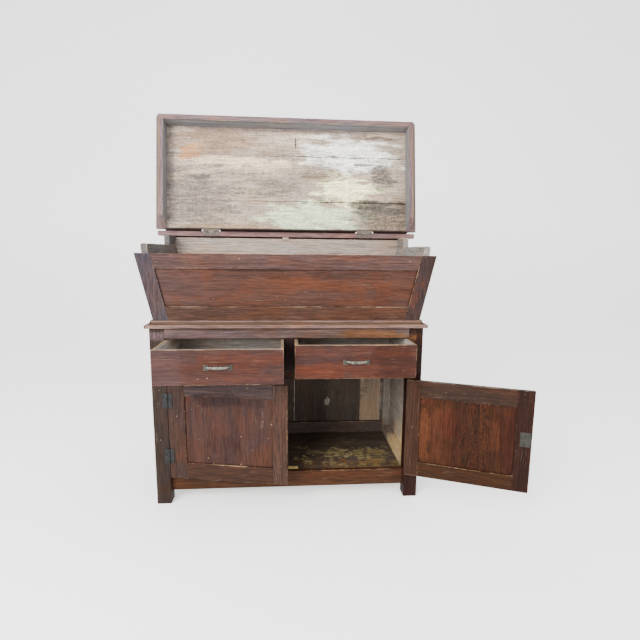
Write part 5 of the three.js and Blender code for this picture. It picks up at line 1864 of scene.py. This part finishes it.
@dataclass
class Drawer:
    """One drawer: stained front, light walls, which the real drawer dovetails to it, drawn as plain boards,
    back, bottom and the pull.
    """

    side: Side
    colour: Colour
    front_ease: float = 1.1 * MM

    def build(self) -> None:
        """Makes the drawer's boards, and the pull in the middle of the front."""
        body = f"{self.side.word}_drawer"
        node, wood = f"{body}_front", Skin.DRAWER_WOOD
        look = Look(Skin.DRAWER_FACE, wood, (wood,), stain(*self.colour))
        fill_node(node, Grain.ACROSS, Facing.FRONT, look, f"{body}_face", body, ease=self.front_ease)
        raw = Look(wood, Skin.DRAWER_INSIDE, (wood,))
        for part, grain, facing in (
            ("left_wall", Grain.DEEP, Facing.LEFT),
            ("right_wall", Grain.DEEP, Facing.RIGHT),
            ("back", Grain.ACROSS, Facing.REAR),
            ("bottom", Grain.ACROSS, Facing.DOWN),
        ):
            fill_node(f"{body}_{part}", grain, facing, raw, body=body, slot="drawer_wood", ease=1 * MM)
        low, high = corners(node)
        middle = np.array([(low[0] + high[0]) / 2, low[1], (low[2] + high[2]) / 2])
        pull = Piece(f"{body}_bow_pull", f"{body}_pull", body, "cast_metal")
        pull.add(*Pull().surfaces(middle)).make()


# ---- doors


@dataclass
class Door:
    """One framed door: two stiles, two rails and a flat panel behind their face."""

    side: Side
    hinge_stile: float
    free_stile: float
    top_rail: float
    bottom_rail: float
    panel_skin: Skin
    colours: tuple[Colour, ...]
    lock_size: Pair = (34 * MM, 40 * MM)
    notch_ease: float = 0.2 * MM

    def __post_init__(self) -> None:
        """Finds the hinge, and the lock's room in the right door's free stile as (depth, foot and head)."""
        self.body = f"{self.side.word}_door"
        self.hinge = Hinge(f"{self.body}_hinge", 0)
        self.matrix = self.hinge.matrix
        self.lock_room = None
        if self.side is Side.RIGHT:
            low, high = self.hinge.shut_box("lock_case")
            middle = (low[2] + high[2]) / 2
            self.lock_room = (low[1], (middle - self.lock_size[1] / 2, middle + self.lock_size[1] / 2))

    def with_lock_room(self, stile: Plank, foot: float) -> list[Plank]:
        """The free stile with an opening for the lock case, and the thin wood left in front of it.

        Args:
            stile: The whole stile, whose length starts at its foot.
            foot: Height of that foot.

        Returns:
            The notched stile and the cover, which share one figure.
        """
        front, (bottom, top) = self.lock_room
        length, width = stile.outline[2]
        low, high, deep = bottom - foot, top - foot, self.lock_size[0]
        notch = [(low, 0), (low, deep), (high, deep), (high, 0)]
        notched = [(0, 0), *notch, (length, 0), (length, width), (0, width)]
        first, far, inner, near = stile.ease
        sharp = self.notch_ease
        ease = (first, sharp, sharp, sharp, first, far, inner, near)
        cover = [(low, 0), (high, 0), (high, deep), (low, deep)]
        thickness = front - stile.origin[1]
        return [
            replace(stile, outline=np.array(notched), ease=ease, corner=0.4 * MM),
            replace(stile, outline=np.array(cover), ease=sharp, corner=0.3 * MM, thickness=thickness),
        ]

    def build(self) -> None:
        """Makes the frame and the panel."""
        low, high = self.hinge.shut_box(f"{self.body}_frame")
        stiles = (self.hinge_stile, self.free_stile)
        left, right = stiles if self.side is Side.LEFT else stiles[::-1]
        x = (low[0], low[0] + left, high[0] - right, high[0])
        z = (low[2], low[2] + self.bottom_rail, high[2] - self.top_rail, high[2])
        outside, inside, hinged = 1.1 * MM, 0.8 * MM, 0.5 * MM
        left, right = (hinged, outside) if self.side is Side.LEFT else (outside, hinged)
        between = (x[1] + SEAT_GAP, x[2] - SEAT_GAP)
        rows = (
            ("left_stile", x[:2], (z[0], z[3]), Grain.UPRIGHT, (left, outside, inside, outside)),
            ("right_stile", x[2:], (z[0], z[3]), Grain.UPRIGHT, (inside, outside, right, outside)),
            ("top_rail", between, z[2:], Grain.ACROSS, (inside, JOINT, outside, JOINT)),
            ("bottom_rail", between, z[:2], Grain.ACROSS, (outside, JOINT, 1.7 * MM, JOINT)),
        )
        piece = Piece(f"{self.body}_boards", f"{self.body}_frame", self.body)
        for (part, xs, zs, grain, ease), colour in zip(rows, self.colours):
            near, far = (xs[0], low[1], zs[0]), (xs[1], high[1], zs[1])
            look = Look(Skin.STAINED, tint=stain(*colour))
            board = Plank.between(f"{self.body}_{part}", near, far, grain, Facing.FRONT, look, ease=ease)
            notched = self.lock_room and part == "left_stile"
            piece.add(*self.with_lock_room(board, near[2]) if notched else [board], matrix=self.matrix)
        piece.make()
        look, node = Look(self.panel_skin, tint=stain(*self.colours[4])), f"{self.body}_panel"
        fill_node(node, Grain.UPRIGHT, Facing.FRONT, look, body=self.body, hinge=self.hinge, ease=JOINT)


@dataclass
class Lock:
    """The lock let into the right door's inner face: a hollow case with room for the bolt, and its plate."""

    proud: float = 0.6 * MM
    plate_thickness: float = 2 * MM
    bolt_room: float = 0.5 * MM
    screw_inset: float = 6 * MM
    plate_ease: float = 0.8 * MM

    def build(self, door: Door) -> None:
        """Makes plate, case and screws."""
        low, high = door.hinge.shut_box("lock_case")
        bolt_low, bolt_high = door.hinge.shut_box("lock_bolt")
        face, inner = high[1] + self.proud, high[1] - self.plate_thickness
        bottom, top = door.lock_room[1]
        end = low[0] + door.lock_size[0]
        (_, wall, floor), (stop, _, roof) = bolt_low - self.bolt_room, bolt_high + self.bolt_room
        shapes = {
            "plate": ((low[0], inner, low[2]), (high[0], face, high[2])),
            "front": ((low[0], low[1], bottom), (end, wall, top)),
            "foot": ((low[0], wall, bottom), (end, inner, floor)),
            "head": ((low[0], wall, roof), (end, inner, top)),
            "end": ((stop, wall, floor), (end, inner, roof)),
        }
        piece = Piece("lock_plate_and_case", "lock_case", "right_door", "cast_metal")
        for name, box in shapes.items():
            ease = self.plate_ease if name == "plate" else door.notch_ease
            look, part = Look(Skin.LOCK_PLATE), f"lock_{name}"
            board = Plank.between(part, *box, Grain.UPRIGHT, Facing.REAR, look, ease=ease, step=5 * MM)
            piece.add(board, matrix=door.matrix)
        for x in (low[0] + self.screw_inset, high[0] - self.screw_inset):
            for z in (low[2] + self.screw_inset, high[2] - self.screw_inset):
                head = Screw(radius=2.6 * MM).surface(np.array([x, face, z]), Y, x * 900 + z * 700)
                piece.add(head, matrix=door.matrix)
        piece.make()


# ---- ironwork


@dataclass
class Ironwork:
    """The CAD hinge leaves in iron, painted over on the lid, and the screws in the doors' leaves."""

    wood_face: float = 3.5 * MM
    plate: float = 2 * MM
    screw_out: float = 12.5 * MM
    screw_rise: float = 24 * MM
    middle_out: float = 1.15

    def build(self, doors: Sequence[Door]) -> None:
        """Gives every leaf and the bolt their finish, then puts in the screws."""
        for name, node in frame["nodes"].items():
            if name.endswith("_leaf") or name == "lock_bolt":
                skin = Skin.PAINTED_IRON if "_lid_" in name else Skin.IRON
                node.data.materials.clear()
                node.data.materials.append(material(skin))
                LOG.info("%s: %s", name, skin.value)
        for door in doors:
            self.screws(door)

    def screws(self, door: Door) -> None:
        """Three screws in each leaf: fixed ones in the leg, moving ones in the door."""
        pin = np.array(door.hinge.facts["pos_m"])
        for kind, body in (("fixed", "cabinet"), ("moving", door.body)):
            piece = Piece(f"{door.body}_{kind}_hinge_screws", body=body, slot="iron")
            sign = door.side.value * (1 if kind == "fixed" else -1)
            matrix = door.matrix if kind == "moving" else Matrix.Translation(pin)
            for level in ("lower", "upper"):
                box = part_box(f"{door.body}_{level}_hinge_{kind}_leaf")
                middle = (box[0][2] + box[1][2]) / 2 - pin[2]
                for step, out in ((-1, 1.0), (0, self.middle_out), (1, 1.0)):
                    rise = middle + step * self.screw_rise
                    centre = np.array([sign * self.screw_out * out, self.wood_face - self.plate, rise])
                    head = Screw(radius=2.4 * MM, dome=0.4 * MM).surface(centre, -Y, 1.3 * step + sign)
                    piece.add(head, matrix=matrix)
            piece.make()


@dataclass
class Nails:
    """Filled nail holes and paint spots on the front: small pale discs, and two dark ones."""

    radius: float = 2.2 * MM
    on_left_door: tuple[Pair, ...] = (
        (338, 522), (37, 391), (435, 375), (401, 386), (308, 317), (306, 197), (190, 192), (167, 216)
    )
    dark_on_left_door: tuple[Pair, ...] = ((486, 347), (484, 312))
    on_right_door: tuple[Pair, ...] = ((-30, 336),)
    on_cabinet: tuple[Triple, ...] = (
        (-687, -199.05, 500), (-690, -199.05, 286), (-489, -177.9, 107),
        (-620, -194.05, 1047), (-353, -194.05, 1036), (338, -194.05, 1031),
    )
    on_left_drawer: tuple[Triple, ...] = ((-491, -401.05, 601), (-457, -401.05, 603))

    def build(self, doors: Sequence[Door]) -> None:
        """Puts the discs on the doors, the cabinet's front and the left drawer."""
        left, right = doors
        foot = left.matrix.translation[2] / MM
        fronts = (self.on_left_door, self.dark_on_left_door)
        outside = [[(x, 3.5, z - foot) for x, z in spots] for spots in fronts]
        behind = [(x, 24.0, z - foot) for x, z in self.on_right_door]
        rows = (
            ("left_door", Skin.PUTTY, outside[0], left.matrix, -Y),
            ("left_door", Skin.SCREW, outside[1], left.matrix, -Y),
            ("right_door", Skin.PUTTY, behind, right.matrix, Y),
            ("cabinet", Skin.PUTTY, self.on_cabinet, None, -Y),
            ("left_drawer", Skin.PUTTY, self.on_left_drawer, None, -Y),
        )
        for body, skin, spots, matrix, out in rows:
            piece = Piece(f"{body}_{skin.name.lower()}_spots", body=body, slot="bare_wood")
            for i, spot in enumerate(spots):
                size = self.radius * (0.7 + 0.2 * (i % 3))
                disc = Screw(radius=size, slot=0.2 * MM, depth=0, dome=0.25 * MM, skin=skin, sunk=0.2 * MM)
                piece.add(disc.surface(np.array(spot) * MM, out, i), matrix=matrix)
            piece.make()


# ---- stage


@dataclass
class Studio:
    """A pale floor that curves up behind, soft lights, and the camera where the photographer stood."""

    eye: Triple = (-0.16110, -2.10955, 1.06619)
    yaw: float = 4.71
    pitch: float = -9.34
    roll: float = 0.62
    lens: float = 26.53
    shift: Pair = (-0.0096, 0.0147)
    half_floor: float = 9.0
    floor_back: float = 3.2
    cove: float = 1.5
    wall_top: float = 7.0

    def build(self) -> None:
        """Makes the floor, lights, world and camera."""
        self.floor()
        self.light("key", (-2.2, -3.3, 2.4), (0.0, 0.0, 0.75), 2.4, 430)
        self.light("fill", (2.6, -3.0, 1.6), (0.0, 0.0, 0.6), 2.4, 90)
        self.light("top", (0.2, -0.8, 4.0), (0.0, 0.1, 0.5), 3.0, 90)
        self.world()
        self.camera()

    def floor(self) -> None:
        """A floor strip that turns up through a quarter circle into a wall."""
        turn = np.linspace(0, math.pi / 2, 17)
        flat_y = np.array([-self.half_floor, -2.0, 0.0, 1.5])
        wall = self.floor_back + self.cove
        y = np.concatenate([flat_y, self.floor_back + self.cove * np.sin(turn), [wall]])
        z = np.concatenate([0 * flat_y, self.cove * (1 - np.cos(turn)), [self.wall_top]])
        x = np.linspace(-self.half_floor, self.half_floor, 9)
        points = np.stack(np.broadcast_arrays(x, y[:, None], z[:, None] - 0.4 * MM), -1)
        index = np.arange(points[..., 0].size).reshape(points.shape[:2])
        quads = np.stack([index[:-1, :-1], index[:-1, 1:], index[1:, 1:], index[1:, :-1]], -1).reshape(-1, 4)
        mesh = bpy.data.meshes.new("studio_floor")
        mesh.from_pydata(points.reshape(-1, 3).tolist(), [], quads.tolist())
        mesh.polygons.foreach_set("use_smooth", np.ones(len(quads), bool))
        mesh.materials.append(PlainStage().material("studio_floor"))
        made = bpy.data.objects.new("studio_floor", mesh)
        bpy.context.scene.collection.objects.link(made)
        made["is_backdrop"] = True

    def light(self, name: str, place: tuple, target: tuple, size: float, power: float) -> None:
        """A large square lamp that looks at a point."""
        lamp = bpy.data.lights.new(name, "AREA")
        lamp.shape, lamp.size, lamp.energy = "SQUARE", size, power
        lamp.color = (1.0, 0.985, 0.965)
        made = bpy.data.objects.new(name, lamp)
        away = Matrix.Translation(place).to_translation() - Matrix.Translation(target).to_translation()
        made.matrix_world = Matrix.Translation(place) @ away.to_track_quat("Z", "Y").to_matrix().to_4x4()
        bpy.context.scene.collection.objects.link(made)

    def world(self) -> None:
        """Pale even light from all round."""
        world = bpy.data.worlds.new("studio_world")
        world.use_nodes = True
        back = world.node_tree.nodes["Background"]
        back.inputs["Color"].default_value = (0.86, 0.88, 0.92, 1.0)
        back.inputs["Strength"].default_value = 1.25
        bpy.context.scene.world = world

    def camera(self) -> None:
        """The camera: yaw towards +X, pitch above the horizon, then roll about its own axis."""
        yaw, pitch, roll = (math.radians(a) for a in (self.yaw, self.pitch, self.roll))
        ahead = np.array([math.sin(yaw) * math.cos(pitch), math.cos(yaw) * math.cos(pitch), math.sin(pitch)])
        right = np.array([math.cos(yaw), -math.sin(yaw), 0])
        up = np.cross(right, ahead)
        turned = right * math.cos(roll) + up * math.sin(roll)
        raised = up * math.cos(roll) - right * math.sin(roll)
        matrix = np.eye(4)
        matrix[:3, 0], matrix[:3, 1], matrix[:3, 2], matrix[:3, 3] = turned, raised, -ahead, self.eye
        data = bpy.data.cameras.new("camera")
        data.lens, data.sensor_width = self.lens, 36.0
        data.shift_x, data.shift_y = self.shift
        camera = bpy.data.objects.new("camera", data)
        camera.matrix_world = Matrix(matrix.tolist())
        bpy.context.scene.collection.objects.link(camera)
        bpy.context.scene.camera = camera


# ---- the whole cabinet


def write_size() -> None:
    """Builds the CAD box and the dressed box as plain lists, and does nothing with them."""
    boxes = {"cad": CAD_BOX, "visual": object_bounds()}
    {name: [list(corner) for corner in box] for name, box in boxes.items()}


def main() -> None:
    """Builds the studio and the cabinet, piece by piece."""
    logging.basicConfig(level=logging.INFO, format="%(message)s")
    Studio().build()
    BaseFrame().build()
    BaseInside().build()
    WaistMoulding().build()
    Trough().build()
    Lid().build()
    for side in Side:
        Drawer(side, (119, 87, 80) if side is Side.LEFT else (122, 86, 76)).build()
    doors = (
        Door(
            Side.LEFT, 72 * MM, 60 * MM, 60 * MM, 71 * MM, Skin.STAINED_PANEL,
            ((99, 77, 69), (115, 88, 76), (110, 92, 90), (101, 73, 61), (111, 82, 74)),
        ),
        Door(
            Side.RIGHT, 60 * MM, 62 * MM, 70 * MM, 64 * MM, Skin.FIGURED_PANEL,
            ((80, 55, 40), (99, 71, 58), (97, 74, 63), (96, 66, 50), STAIN),
        ),
    )
    for door in doors:
        door.build()
    Lock().build(doors[1])
    Ironwork().build(doors)
    Nails().build(doors)
    write_size()


if __name__ == "__main__":
    main()
